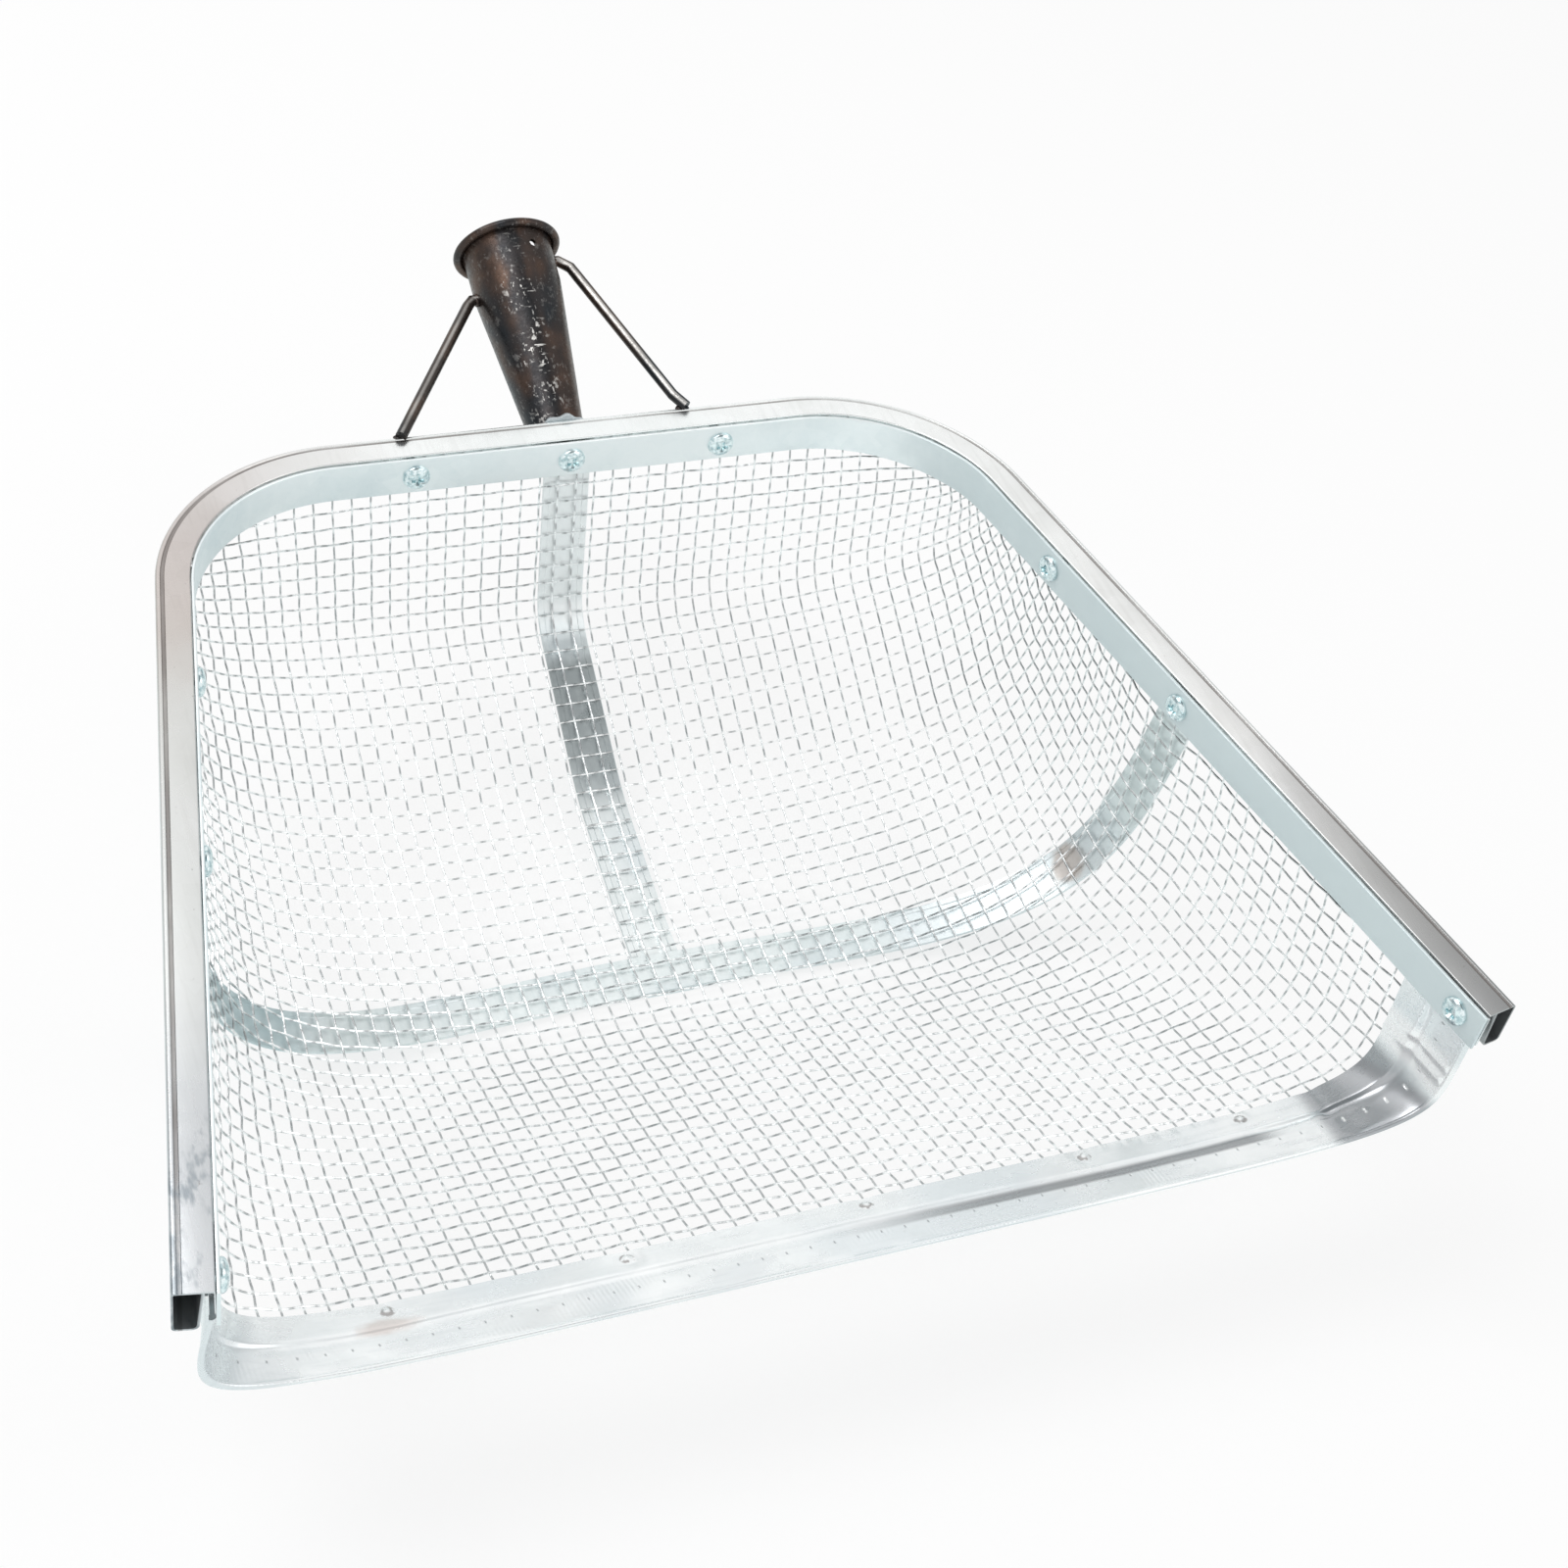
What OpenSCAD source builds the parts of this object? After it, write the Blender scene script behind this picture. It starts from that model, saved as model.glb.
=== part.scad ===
// Rigid wire-mesh pool scoop: a woven wire pan clamped in a U-shaped sheet-metal rim,
// with a folded front lip, two under-straps and a welded pole socket on two stays.
// Millimetres, +Z up. The origin is the middle of the flat under the belly, so the
// scoop stands on Z = 0. +Y points to the pole socket, X = 0 is the middle plane.
// Inside the construction, "rim space" has Z = 0 on the rim's top face and Y = 0 at the mouth.

/* [Rim] */
// Outer width of the rim at its open front
mouth_w = 475; // [430:1:520]
// Outer width of the rim where its rear corners would meet
back_w = 338; // [300:1:380]
// Length of the rim from the mouth to the back
rim_l = 380; // [350:1:410]
// Outer radius of the two rear corners
corner_r = 83; // [60:1:95]
// Height of the rim's box section
rim_h = 19.5; // [18:0.5:24]
// Width of the rim's box section
box_w = 9.7; // [8:0.1:14]
// Thickness of the rim's sheet
rim_t = 1; // [0.8:0.1:1.5]
// How far the top web reaches inwards past the box
web_reach = 2.8; // [1:0.1:3.2]
// Depth of the groove along the top face
groove_d = 0.3; // [0.1:0.05:0.4]

/* [Clamp strip] */
// Thickness of the clamp strip
strip_t = 1.3; // [1:0.1:2]
// Height of the clamp strip
strip_h = 15.5; // [14:0.5:17]
// Drop of the strip's top edge below the rim's top face
strip_drop = 2.4; // [1.6:0.1:2.8]

/* [Mesh pan] */
// Radius of the pan's wires
wire_r = 0.95; // [0.7:0.05:1]
// Distance between the wires
wire_gap = 30; // [26:1:44]
// Depth of the pan's belly below the rim's top face
belly_depth = 142; // [125:1:160]
// Depth of the pan at the front lip
lip_depth = 72; // [60:1:82]
// Distance from the mouth to the front end of the flat under the belly
belly_front = 168; // [155:1:175]
// Distance from the mouth to the rear end of the flat under the belly
belly_back = 222; // [210:1:228]
// Distance from the mouth to the pan's break behind the belly
rise_y = 285; // [275:1:295]
// Depth of the pan at the break behind the belly
rise_depth = 129; // [112:1:132]
// Distance of the foot of the back wall ahead of the wall's top
wall_foot_in = 10; // [6:1:16]
// Depth of the foot of the back wall
wall_foot_depth = 89; // [80:1:98]
// Squareness of the pan's cross-section
pan_square = 3.7; // [3:0.1:4.5]
// Squareness of the cross-section between the rear corners
corner_square = 2.8; // [2.4:0.1:3.4]

/* [Front lip] */
// Width of the folded lip
lip_w = 25; // [22:1:28]
// Thickness of the lip's sheet
lip_t = 0.8; // [0.6:0.05:1]
// Distance from the front hem to the step where the two leaves open round the mesh
lip_step = 13; // [10:0.5:15]

/* [Straps] */
// Width of both straps
strap_w = 20; // [14:1:24]
// Thickness of both straps
strap_t = 1.1; // [0.8:0.1:1.3]
// Distance of the cross strap's ends from the mouth
cross_end_y = 178; // [170:1:184]
// Distance along the floor from the mouth to the middle of the cross strap
cross_mid_s = 212; // [204:1:216]

/* [Screws] */
// Radius of the screw heads
screw_head_r = 5.6; // [4.5:0.1:6]
// Height of the screw heads
screw_head_h = 3; // [2.4:0.1:3.6]
// Radius of the screw shanks
screw_r = 2; // [1.6:0.1:2.2]
// Length of the screws under the head
screw_l = 10; // [8:0.5:11]
// Drop of the screws below the rim's top face
screw_drop = 9.7; // [9:0.1:10.5]
// Sideways place of the outer screws at the back
back_screw_x = 66; // [60:1:80]
// Distances of the leg screws from the mouth
front_screw_y = 12; // [10:0.5:14]
rear_screw_y = 266; // [258:1:266]

/* [Pole socket] */
// Radius of the bore that takes the pole
socket_bore_r = 17.5; // [14:0.5:19]
// Length of the parallel part of the bore
socket_throat = 22; // [16:1:26]
// Wall of the socket
socket_wall = 1.5; // [1.2:0.1:2]
// Outer radius of the socket's foot
socket_foot_r = 11; // [9.5:0.5:12.5]
// Distance of the socket's mouth behind the rim
socket_back = 91.5; // [84:0.5:105]
// Height of the socket's mouth above the rim's top face
socket_rise = 23; // [18:0.5:30]
// Drop of the socket's foot below the rim's top face
socket_foot_drop = 14; // [12:0.5:15]
// Radius of the rolled bead round the mouth
bead_r = 2.3; // [1.8:0.1:2.5]
// Radius of the nail hole
nail_hole_r = 1.6; // [1.2:0.1:2]
// Distance of the nail hole below the mouth
nail_hole_down = 10; // [7:0.5:13]

/* [Stays] */
// Radius of the stay rods
stay_r = 3.1; // [2.5:0.1:3.3]
// Sideways place of the left stay's foot
left_foot_x = 69; // [55:1:80]
// Sideways place of the right stay's foot
right_foot_x = 52; // [45:1:70]
// Distance of the left stay's top below the socket's mouth
left_top_down = 25; // [20:1:32]
// Distance of the right stay's top below the socket's mouth
right_top_down = 9; // [8:0.5:16]
// Radius of the weld beads on the stays
weld_r = 5; // [4.6:0.1:5.4]

/* [Hidden] */

zinc = [0.74, 0.77, 0.79];
bright_zinc = [0.82, 0.85, 0.87];
blue_zinc = [0.68, 0.75, 0.78];
scaled_steel = [0.2, 0.16, 0.14];

seat_gap = 0.15;                 // clearance between sheets that lie on each other
hole_gap = 0.2;                  // radial clearance of a screw in its hole
weld_gap = 0.05;                 // clearance round a weld bead
over = 1;                        // how far a cutting solid runs past what it cuts
round_fn = 64;

// Layers in the clamped joint, measured inwards from the rim's outer face
strap_in = box_w + seat_gap;
mesh_in = strap_in + strap_t + seat_gap + wire_r;
strip_in = mesh_in + wire_r + seat_gap;
clamp_in = strip_in + strip_t;
pan_top = strip_drop + strip_h + 0.4;    // where the pan leaves the clamp
clamp_top = 4;                           // where the pan's edge ends inside the clamp

// Plan of the rim
splay = atan((mouth_w - back_w) / 2 / rim_l);
corner_turn = 90 - splay;
corner_cut = corner_r * tan(corner_turn / 2);
back_half = back_w / 2 - corner_cut;
corner_y = rim_l - corner_r;
leg_l = rim_l / cos(splay) - corner_cut;

// Middle line of the pan's floor: straight runs joined by arcs, [distance back, depth, radius]
pan_back = rim_l - mesh_in;
floor_corners = [
    [0, lip_depth, 0],
    [belly_front, belly_depth, 60],
    [belly_back, belly_depth, 90],
    [rise_y, rise_depth, 80],
    [pan_back - wall_foot_in, wall_foot_depth, 16],
    [pan_back, pan_top, 0]];

function unit(v) = v / norm(v);
function turn_at(p, i) =
    acos(unit(p[i] - p[i - 1]) * unit(p[i + 1] - p[i]));
// Points along the arc that rounds corner i of a line
function arc_at(p, radius, i, steps) = let(
    before = unit(p[i] - p[i - 1]),
    after = unit(p[i + 1] - p[i]),
    turn = turn_at(p, i),
    start = p[i] - before * radius * tan(turn / 2),
    inward = unit(after - before * (after * before)))
    [for (k = [0:steps]) let(a = turn * k / steps)
        start + before * radius * sin(a) + inward * radius * (1 - cos(a))];
function rounded(corners, steps) = let(p = [for (c = corners) [c[0], -c[1]]])
    [for (i = [0:len(p) - 1])
        each (corners[i][2] == 0 ? [p[i]] : arc_at(p, corners[i][2], i, steps))];
// Pairs each point of a line with its distance along the line
function measured(p) = [for (i = 0, l = 0; i < len(p);
    l = l + norm(p[min(i + 1, len(p) - 1)] - p[i]), i = i + 1) [l, p[i]]];
function column(table, k) = [for (row = table) [row[0], row[1][k]]];

floor_line = measured(rounded(floor_corners, 6));
floor_y = column(floor_line, 0);
floor_z = column(floor_line, 1);
floor_l = floor_line[len(floor_line) - 1][0];

// Half width of the pan's edge at a distance back from the mouth
function edge_x(y) = let(
    bend_y = corner_y + (corner_r - mesh_in) * sin(splay),
    line_x = mouth_w / 2 - mesh_in / cos(splay) - y * tan(splay),
    reach = corner_r - mesh_in)
    y <= bend_y ? line_x : back_half + sqrt(reach * reach - pow(y - corner_y, 2));

// Where the cross-section at distance s along the floor meets the pan's edge
last_straight = 200;
edge_end = rim_l - 30;
function edge_y(s) = s <= last_straight ? s
    : last_straight + (s - last_straight) * (edge_end - last_straight) / (floor_l - last_straight);

// The half cross-section is a squared ellipse. Its points are [share of its length, [across, down]].
half_steps = 40;
function squareness(s) = lookup(s / floor_l, [
    [0.5, pan_square], [0.85, corner_square], [0.95, corner_square], [1, pan_square]]);
function half_section(a, d, n) = let(
    p = [for (k = [0:half_steps]) let(t = 90 - 90 * k / half_steps)
        [a * pow(cos(t), 2 / n), d * pow(sin(t), 2 / n)]],
    m = measured(p),
    total = m[half_steps][0])
    [for (row = m) [row[0] / total, row[1]]];
function section_length(s) = let(f = section_frame(s, 0))
    measured([for (row = half_section(f[2], f[3], squareness(s))) row[1]])[half_steps][0];
// Top middle, downward direction, half width and depth of the cross-section at s
function section_frame(s, off) = let(
    y = edge_y(s),
    top = [0, y, -pan_top],
    low = [0, lookup(s, floor_y), lookup(s, floor_z)],
    down = unit(low - top))
    [top, down, edge_x(y) + off, norm(low - top) + off];
// Points of the pan at distance s along the floor. Each share runs from 0 in the middle
// to 1 (right) or -1 (left) at the edge, and "off" is the distance outside the mesh.
function pan_points(s, shares, off) = let(
    f = section_frame(s, off),
    half = half_section(f[2], f[3], squareness(s)),
    across = column(half, 0),
    deep = column(half, 1))
    [for (q = shares) f[0] + [sign(q) * lookup(abs(q), across), 0, 0] + f[1] * lookup(abs(q), deep)];

// Both straps lie on each other where the scoop rests
rest_layer = wire_r + 2 * (strap_t + seat_gap);
belly_s = lookup(belly_front, [for (row = floor_line) [row[1][0], row[0]]])
    + (belly_back - belly_front) / 2;
rest_point = pan_points(belly_s, [0], rest_layer)[0];

module in_place() {
    translate(-rest_point) children();
}

// The rim's plan at a distance inwards from its outer face, from the right leg round to the left,
// with the leg ends moved past the mouth
corner_steps = 16;
function rim_line(inwards, past) = let(
    arc = [for (k = [0:corner_steps]) let(a = splay + corner_turn * k / corner_steps)
        [back_half + (corner_r - inwards) * cos(a), corner_y + (corner_r - inwards) * sin(a)]],
    right = concat([arc[0] + (leg_l + past) * [sin(splay), -cos(splay)]], arc),
    n = len(right))
    concat(right, [for (k = [n - 1:-1:0]) [-right[k][0], right[k][1]]]);
function reversed(p) = [for (k = [len(p) - 1:-1:0]) p[k]];
// A band of the rim between two distances inwards and two heights
module band(outer, inner, low, high, past = 0) {
    translate([0, 0, low]) linear_extrude(high - low)
        polygon(concat(rim_line(outer, past), reversed(rim_line(inner, past))));
}

// Places something on the rim's outer face with +Z pointing into the pan
module on_back(x) {
    translate([x, rim_l, 0]) rotate([90, 0, 0]) children();
}
module on_right_leg(y) {
    translate([back_half, corner_y, 0]) rotate([0, 0, splay])
        translate([corner_r, -(corner_y + corner_r * sin(splay) - y) / cos(splay), 0])
            rotate([0, -90, 0]) children();
}
leg_screw_y = [front_screw_y, cross_end_y, rear_screw_y];
back_screws_x = [-back_screw_x, 0, back_screw_x];
// Repeats something at each screw, on the rim's outer face
module at_back_screws() {
    for (x = back_screws_x) on_back(x) translate([0, -screw_drop, 0]) children();
}
module at_right_screws() {
    for (y = leg_screw_y) on_right_leg(y) translate([-screw_drop, 0, 0]) children();
}
module at_all_screws() {
    at_back_screws() children();
    at_right_screws() children();
    mirror([1, 0, 0]) at_right_screws() children();
}
// Clearance holes through the clamped layers
module screw_holes() {
    at_all_screws() cylinder(r = screw_r + hole_gap, h = clamp_in, $fn = 24);
}

groove_at = 2.2;
groove_w = 1;
module rim_channel() {
    color(zinc) in_place() difference() {
        union() {
            band(0, box_w, -rim_h, 0);
            band(box_w, box_w + web_reach, -rim_t, 0);
        }
        band(rim_t, box_w - rim_t, rim_t - rim_h, -rim_t, over);
        band(groove_at, groove_at + groove_w, -groove_d, over, over);
        at_all_screws() translate([0, 0, box_w / 2])
            cylinder(r = screw_r + hole_gap, h = box_w / 2 + over, $fn = 24);
    }
}
module clamp_strip() {
    color(blue_zinc) in_place() difference() {
        band(strip_in, clamp_in, -strip_drop - strip_h, -strip_drop);
        at_all_screws() translate([0, 0, strip_in - over])
            cylinder(r = screw_r + hole_gap, h = strip_t + 2 * over, $fn = 24);
    }
}

// Triangles between two closed lines of points, given by their numbers
function wall(lower, upper) = [for (k = [0:len(lower) - 1]) let(m = (k + 1) % len(lower))
    each [[lower[k], lower[m], upper[m]], [lower[k], upper[m], upper[k]]]];
function shifted(p, by) = [for (k = p) k + by];
// A solid between rings of points, closed at both ends
module skin(rings) {
    n = len(rings[0]);
    last = len(rings) - 1;
    ring = [for (k = [0:n - 1]) k];
    sides = [for (i = [0:last - 1]) each wall(shifted(ring, i * n), shifted(ring, (i + 1) * n))];
    polyhedron([for (r = rings) each r],
        concat(sides, [reversed(ring), shifted(ring, last * n)]), convexity = 6);
}
// Rows run across the pan and columns run from front to back, both wire_gap apart.
// Columns are numbered from the middle: 0, 1, 2 to the right and -1, -2 to the left.
mesh_front = lip_step + 5;
row_s = [for (s = [mesh_front:wire_gap:floor_l - wire_gap / 3]) s];
last_row = len(row_s) - 1;
function columns_within(l) = floor((l - 3 * wire_r) / wire_gap + 0.5);
// Columns that each row meets on either side of the middle
row_columns = [for (s = row_s)
    columns_within(min(section_length(s - wire_r), section_length(s + wire_r)))];
top_columns = min(columns_within(section_length(floor_l)), row_columns[last_row]);
function clamp_end(p) = [p[0], p[1], -clamp_top];
function mirrored(p) = [-p[0], p[1], p[2]];

// One long edge of a row, with a point on either side of each column
function row_edge(i, ahead, off) = let(
    s = row_s[i] + ahead,
    l = section_length(s),
    sides = [for (j = [0:row_columns[i] - 1]) for (d = [-wire_r, wire_r]) (j + 0.5) * wire_gap + d],
    points = pan_points(s, concat([for (w = sides) w / l], [1]), off),
    half = concat(points, [clamp_end(points[len(points) - 1])]))
    concat([for (p = reversed(half)) mirrored(p)], half);
function row_points(i) = let(
    front_in = row_edge(i, -wire_r, -wire_r),
    back_in = row_edge(i, wire_r, -wire_r),
    back_out = row_edge(i, wire_r, wire_r),
    front_out = row_edge(i, -wire_r, wire_r))
    [for (k = [0:len(front_in) - 1]) each [front_in[k], back_in[k], back_out[k], front_out[k]]];
function half_rings(i) = 2 * row_columns[i] + 2;
// Number of each row's first point
row_start = [for (i = 0, n = 0; i <= last_row; n = n + 8 * half_rings(i), i = i + 1) n];
// Number of the first point of the ring on the left side of column c in row i
function at_column(i, c) = row_start[i] + 4 * (half_rings(i) + 2 * c);
// Columns that go on from row i to the next row or, after the last row, into the clamp
function columns_after(i) = i < 0 ? 0
    : i < last_row ? min(row_columns[i], row_columns[i + 1]) : top_columns;
function column_here(k, i, count) = let(c = (k - half_rings(i)) / 2)
    c == floor(c) && c >= -count && c < count;
// Sides of row i, left open where a column joins it
function row_sides(i) = let(a = row_start[i], n = 2 * half_rings(i))
    [for (k = [0:n - 2]) for (m = [0:3])
        if (!(m == 1 && column_here(k, i, columns_after(i)))
            && !(m == 3 && column_here(k, i, columns_after(i - 1))))
        let(p = a + 4 * k + m, q = a + 4 * k + (m + 1) % 4)
        each [[p, q, q + 4], [p, q + 4, p + 4]]];
function row_ends(i) = let(a = row_start[i], b = a + 4 * (2 * half_rings(i) - 1))
    [reversed(shifted([0, 1, 2, 3], a)), shifted([0, 1, 2, 3], b)];
back_side = [1, 2, 6, 5];
front_side = [0, 3, 7, 4];

// The columns' last stretch, up the back wall and into the clamp
function top_points(c) = let(
    w = (c + 0.5) * wire_gap,
    l = section_length(floor_l),
    near = pan_points(floor_l, [(w - wire_r) / l, (w + wire_r) / l], -wire_r),
    far = pan_points(floor_l, [(w - wire_r) / l, (w + wire_r) / l], wire_r),
    ring = [near[0], far[0], far[1], near[1]])
    concat(ring, [for (p = ring) clamp_end(p)]);

module mesh_basket() {
    rows = [for (i = [0:last_row]) each row_points(i)];
    tops = [for (c = [-top_columns:top_columns - 1]) each top_points(c)];
    row_faces = [for (i = [0:last_row]) each concat(row_sides(i), row_ends(i))];
    column_faces = [for (i = [0:last_row - 1]) for (c = [-columns_after(i):columns_after(i) - 1])
        each wall(shifted(back_side, at_column(i, c)), shifted(front_side, at_column(i + 1, c)))];
    top_faces = [for (c = [-top_columns:top_columns - 1]) let(
        a = len(rows) + 8 * (c + top_columns),
        foot = shifted([0, 1, 2, 3], a),
        end = shifted([4, 5, 6, 7], a))
        each concat(wall(shifted(back_side, at_column(last_row, c)), foot), wall(foot, end), [end])];
    color(bright_zinc) in_place()
        polyhedron(concat(rows, tops), concat(row_faces, column_faces, top_faces), convexity = 12);
}

strap_off = wire_r + seat_gap;
// The centre strap steps down under the cross strap where they meet
step_down = strap_t + seat_gap;
step_start = cross_mid_s + strap_w / 2 + 2;
step_l = 12;
centre_strap_front = cross_mid_s - strap_w / 2;
function centre_off(s) = strap_off + lookup(s, [[step_start, step_down], [step_start + step_l, 0]]);
module centre_strap() {
    stations = concat([centre_strap_front, step_start],
        [for (s = [step_start + step_l:8:floor_l - 4]) s], [floor_l]);
    rings = [for (s = stations) let(
        q = strap_w / 2 / section_length(s),
        low = pan_points(s, [-q, q], centre_off(s) + strap_t),
        high = pan_points(s, [-q, q], centre_off(s)))
        [low[0], low[1], high[1], high[0]]];
    color(zinc) in_place() {
        skin(rings);
        difference() {
            on_back(0) translate([-strap_w / 2, -pan_top, strap_in])
                cube([strap_w, pan_top - clamp_top, strap_t]);
            screw_holes();
        }
    }
}

// The cross strap slants from its middle on the belly to its ends on the legs
cross_steps = 14;
function cross_s(q) = cross_mid_s + (cross_end_y - cross_mid_s) * q * q;
module cross_strap() {
    rings = [for (k = [-cross_steps:cross_steps]) let(
        q = sign(k) * pow(abs(k) / cross_steps, 0.85),
        front = cross_s(q) - strap_w / 2,
        back = cross_s(q) + strap_w / 2,
        lf = pan_points(front, [q], strap_off + strap_t)[0],
        lb = pan_points(back, [q], strap_off + strap_t)[0],
        hb = pan_points(back, [q], strap_off)[0],
        hf = pan_points(front, [q], strap_off)[0])
        [lb, lf, hf, hb]];
    left_end = [for (p = rings[0]) clamp_end(p)];
    right_end = [for (p = rings[len(rings) - 1]) clamp_end(p)];
    color(zinc) in_place() difference() {
        skin(concat([left_end], rings, [right_end]));
        screw_holes();
    }
}

// Section of the folded lip, [distance back from the hem, distance outside the mesh].
// The leaves lie together in front of the step and open round the mesh behind it.
leaf_in = wire_r + 0.1;
leaf_out = leaf_in + lip_t;
hem_r = lip_t;
step_run = 2;
lip_section = [
    [lip_w, -leaf_in], [lip_w, -leaf_out], [lip_step + step_run, -leaf_out],
    [lip_step, -hem_r], [hem_r, -hem_r], [0, -hem_r / 2], [0, hem_r / 2], [hem_r, hem_r],
    [lip_step, hem_r], [lip_step + step_run, leaf_out], [lip_w, leaf_out], [lip_w, leaf_in],
    [lip_step + step_run + lip_t, leaf_in], [lip_step + step_run, 0],
    [lip_step + step_run + lip_t, -leaf_in]];
// The inner leaf ends under the rim. Triangles of its end, by the order of the points above
leaf_end = [[0, 1, 2], [0, 2, 14], [14, 2, 3], [14, 3, 13]];
// The other points rise into the clamp as a tab, [distance back, distance outside the mesh]
tab_part = [3, 4, 5, 6, 7, 8, 9, 10, 11, 12, 13];
tab_in = strap_off / cos(splay);
tab_out = (strap_off + strap_t) / cos(splay);
tab_front = 0.7;
tab_section = [
    [lip_step, tab_in], [tab_front + 2, tab_in], [tab_front, tab_in], [tab_front, tab_out],
    [tab_front + 2, tab_out], [lip_step, tab_out], [lip_step + step_run, tab_out],
    [lip_w, tab_out], [lip_w, tab_in], [lip_step + step_run + lip_t, tab_in],
    [lip_step + step_run, tab_in]];
tab_bend = 1.3;    // height in which the folded lip thins to the tab
lip_steps = 20;
function tab_ring(depth) = [for (c = tab_section) [edge_x(c[0]) + c[1], c[0], -depth]];
module front_lip() {
    shares = [for (k = [0:lip_steps]) pow(k / lip_steps, 0.8)];
    lines = [for (c = lip_section) pan_points(c[0], shares, c[1])];
    rings = [for (k = [-lip_steps:lip_steps])
        [for (i = [0:len(lines) - 1]) k < 0 ? mirrored(lines[i][-k]) : lines[i][k]]];
    right = [tab_ring(pan_top - tab_bend), tab_ring(clamp_top)];
    left = [for (r = right) [for (p = r) mirrored(p)]];
    n = len(lip_section);
    m = len(tab_part);
    ring = [for (k = [0:n - 1]) k];
    tab = [for (k = [0:m - 1]) k];
    last = 2 * lip_steps * n;
    right_at = last + n;
    left_at = right_at + 2 * m;
    sides = [for (i = [0:2 * lip_steps - 1]) each wall(shifted(ring, i * n), shifted(ring, (i + 1) * n))];
    right_tab = concat(
        [for (f = leaf_end) shifted(f, last)],
        wall(shifted(tab_part, last), shifted(tab, right_at)),
        wall(shifted(tab, right_at), shifted(tab, right_at + m)),
        [shifted(tab, right_at + m)]);
    left_tab = concat(
        [for (f = leaf_end) reversed(f)],
        wall(shifted(tab, left_at), tab_part),
        wall(shifted(tab, left_at + m), shifted(tab, left_at)),
        [reversed(shifted(tab, left_at + m))]);
    color(bright_zinc) in_place() difference() {
        polyhedron([for (r = concat(rings, right, left)) each r],
            concat(sides, right_tab, left_tab), convexity = 8);
        screw_holes();
    }
}

// Pan-head screw with a cross recess, head under +Z, its seat at z = 0
module pan_screw() {
    slot_w = 1.4;
    slot_l = screw_head_r * 1.1;
    recess_d = screw_head_h * 0.5;
    dome_r = (screw_head_r * screw_head_r + screw_head_h * screw_head_h) / 2 / screw_head_h;
    point_l = 3;
    difference() {
        intersection() {
            translate([0, 0, screw_head_h - dome_r]) sphere(r = dome_r, $fn = round_fn);
            cylinder(r = screw_head_r, h = screw_head_h + over, $fn = round_fn);
        }
        for (a = [0, 90]) rotate([0, 0, a])
            translate([-slot_l / 2, -slot_w / 2, screw_head_h - recess_d])
                cube([slot_l, slot_w, recess_d + over]);
    }
    translate([0, 0, point_l - screw_l]) cylinder(r = screw_r, h = screw_l - point_l + over / 2, $fn = 32);
    translate([0, 0, -screw_l]) cylinder(r1 = screw_r / 3, r2 = screw_r, h = point_l, $fn = 32);
}
module back_screws() {
    color(blue_zinc) in_place() at_back_screws() translate([0, 0, clamp_in]) pan_screw();
}
module right_screws() {
    color(blue_zinc) in_place() at_right_screws() translate([0, 0, clamp_in]) pan_screw();
}
module left_screws() {
    color(blue_zinc) in_place() mirror([1, 0, 0]) at_right_screws() translate([0, 0, clamp_in]) pan_screw();
}

// Pole socket: +Z of its own space points out of its mouth, the mouth lies at z = 0
socket_tilt = atan((socket_rise + socket_foot_drop) / socket_back);
socket_l = norm([socket_back, socket_rise + socket_foot_drop]);
socket_r = socket_bore_r + socket_wall;
nail_turn = 20;
module on_socket() {
    translate([0, rim_l + socket_back, socket_rise]) rotate([socket_tilt - 90, 0, 0]) children();
}
// Outer radius of the cone at a distance below the mouth
function cone_r(down) = lookup(down, [[socket_throat, socket_r], [socket_l, socket_foot_r]]);
foot_over = socket_foot_r + socket_wall;
module socket_outside(grow) {
    end_r = cone_r(socket_l) + grow;
    slope = (socket_r - socket_foot_r) / (socket_l - socket_throat);
    rotate_extrude($fn = round_fn) polygon([
        [0, 0], [socket_r + grow, 0], [socket_r + grow, -socket_throat],
        [end_r - slope * foot_over, -socket_l - foot_over], [0, -socket_l - foot_over]]);
}
module socket_inside() {
    slope = (socket_r - socket_foot_r) / (socket_l - socket_throat);
    rotate_extrude($fn = round_fn) polygon([
        [0, over], [socket_bore_r, over], [socket_bore_r, -socket_throat],
        [socket_foot_r - socket_wall - slope * foot_over * 1.5, -socket_l - foot_over * 1.5],
        [0, -socket_l - foot_over * 1.5]]);
}
// Everything ahead of the rim's back face
module ahead_of_back(gap) {
    translate([-mouth_w, -rim_l, -belly_depth]) cube([2 * mouth_w, 2 * rim_l + gap, 2 * belly_depth]);
}
module pole_socket() {
    color(scaled_steel) in_place() difference() {
        on_socket() difference() {
            union() {
                socket_outside(0);
                translate([0, 0, -bead_r / 2]) rotate_extrude($fn = round_fn)
                    translate([socket_r + bead_r * 0.8, 0]) circle(r = bead_r, $fn = 24);
            }
            socket_inside();
            rotate([0, 0, nail_turn]) translate([0, 0, -nail_hole_down]) rotate([90, 0, 0])
                cylinder(r = nail_hole_r, h = socket_r + bead_r + over, $fn = 24);
        }
        ahead_of_back(0);
    }
}

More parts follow.
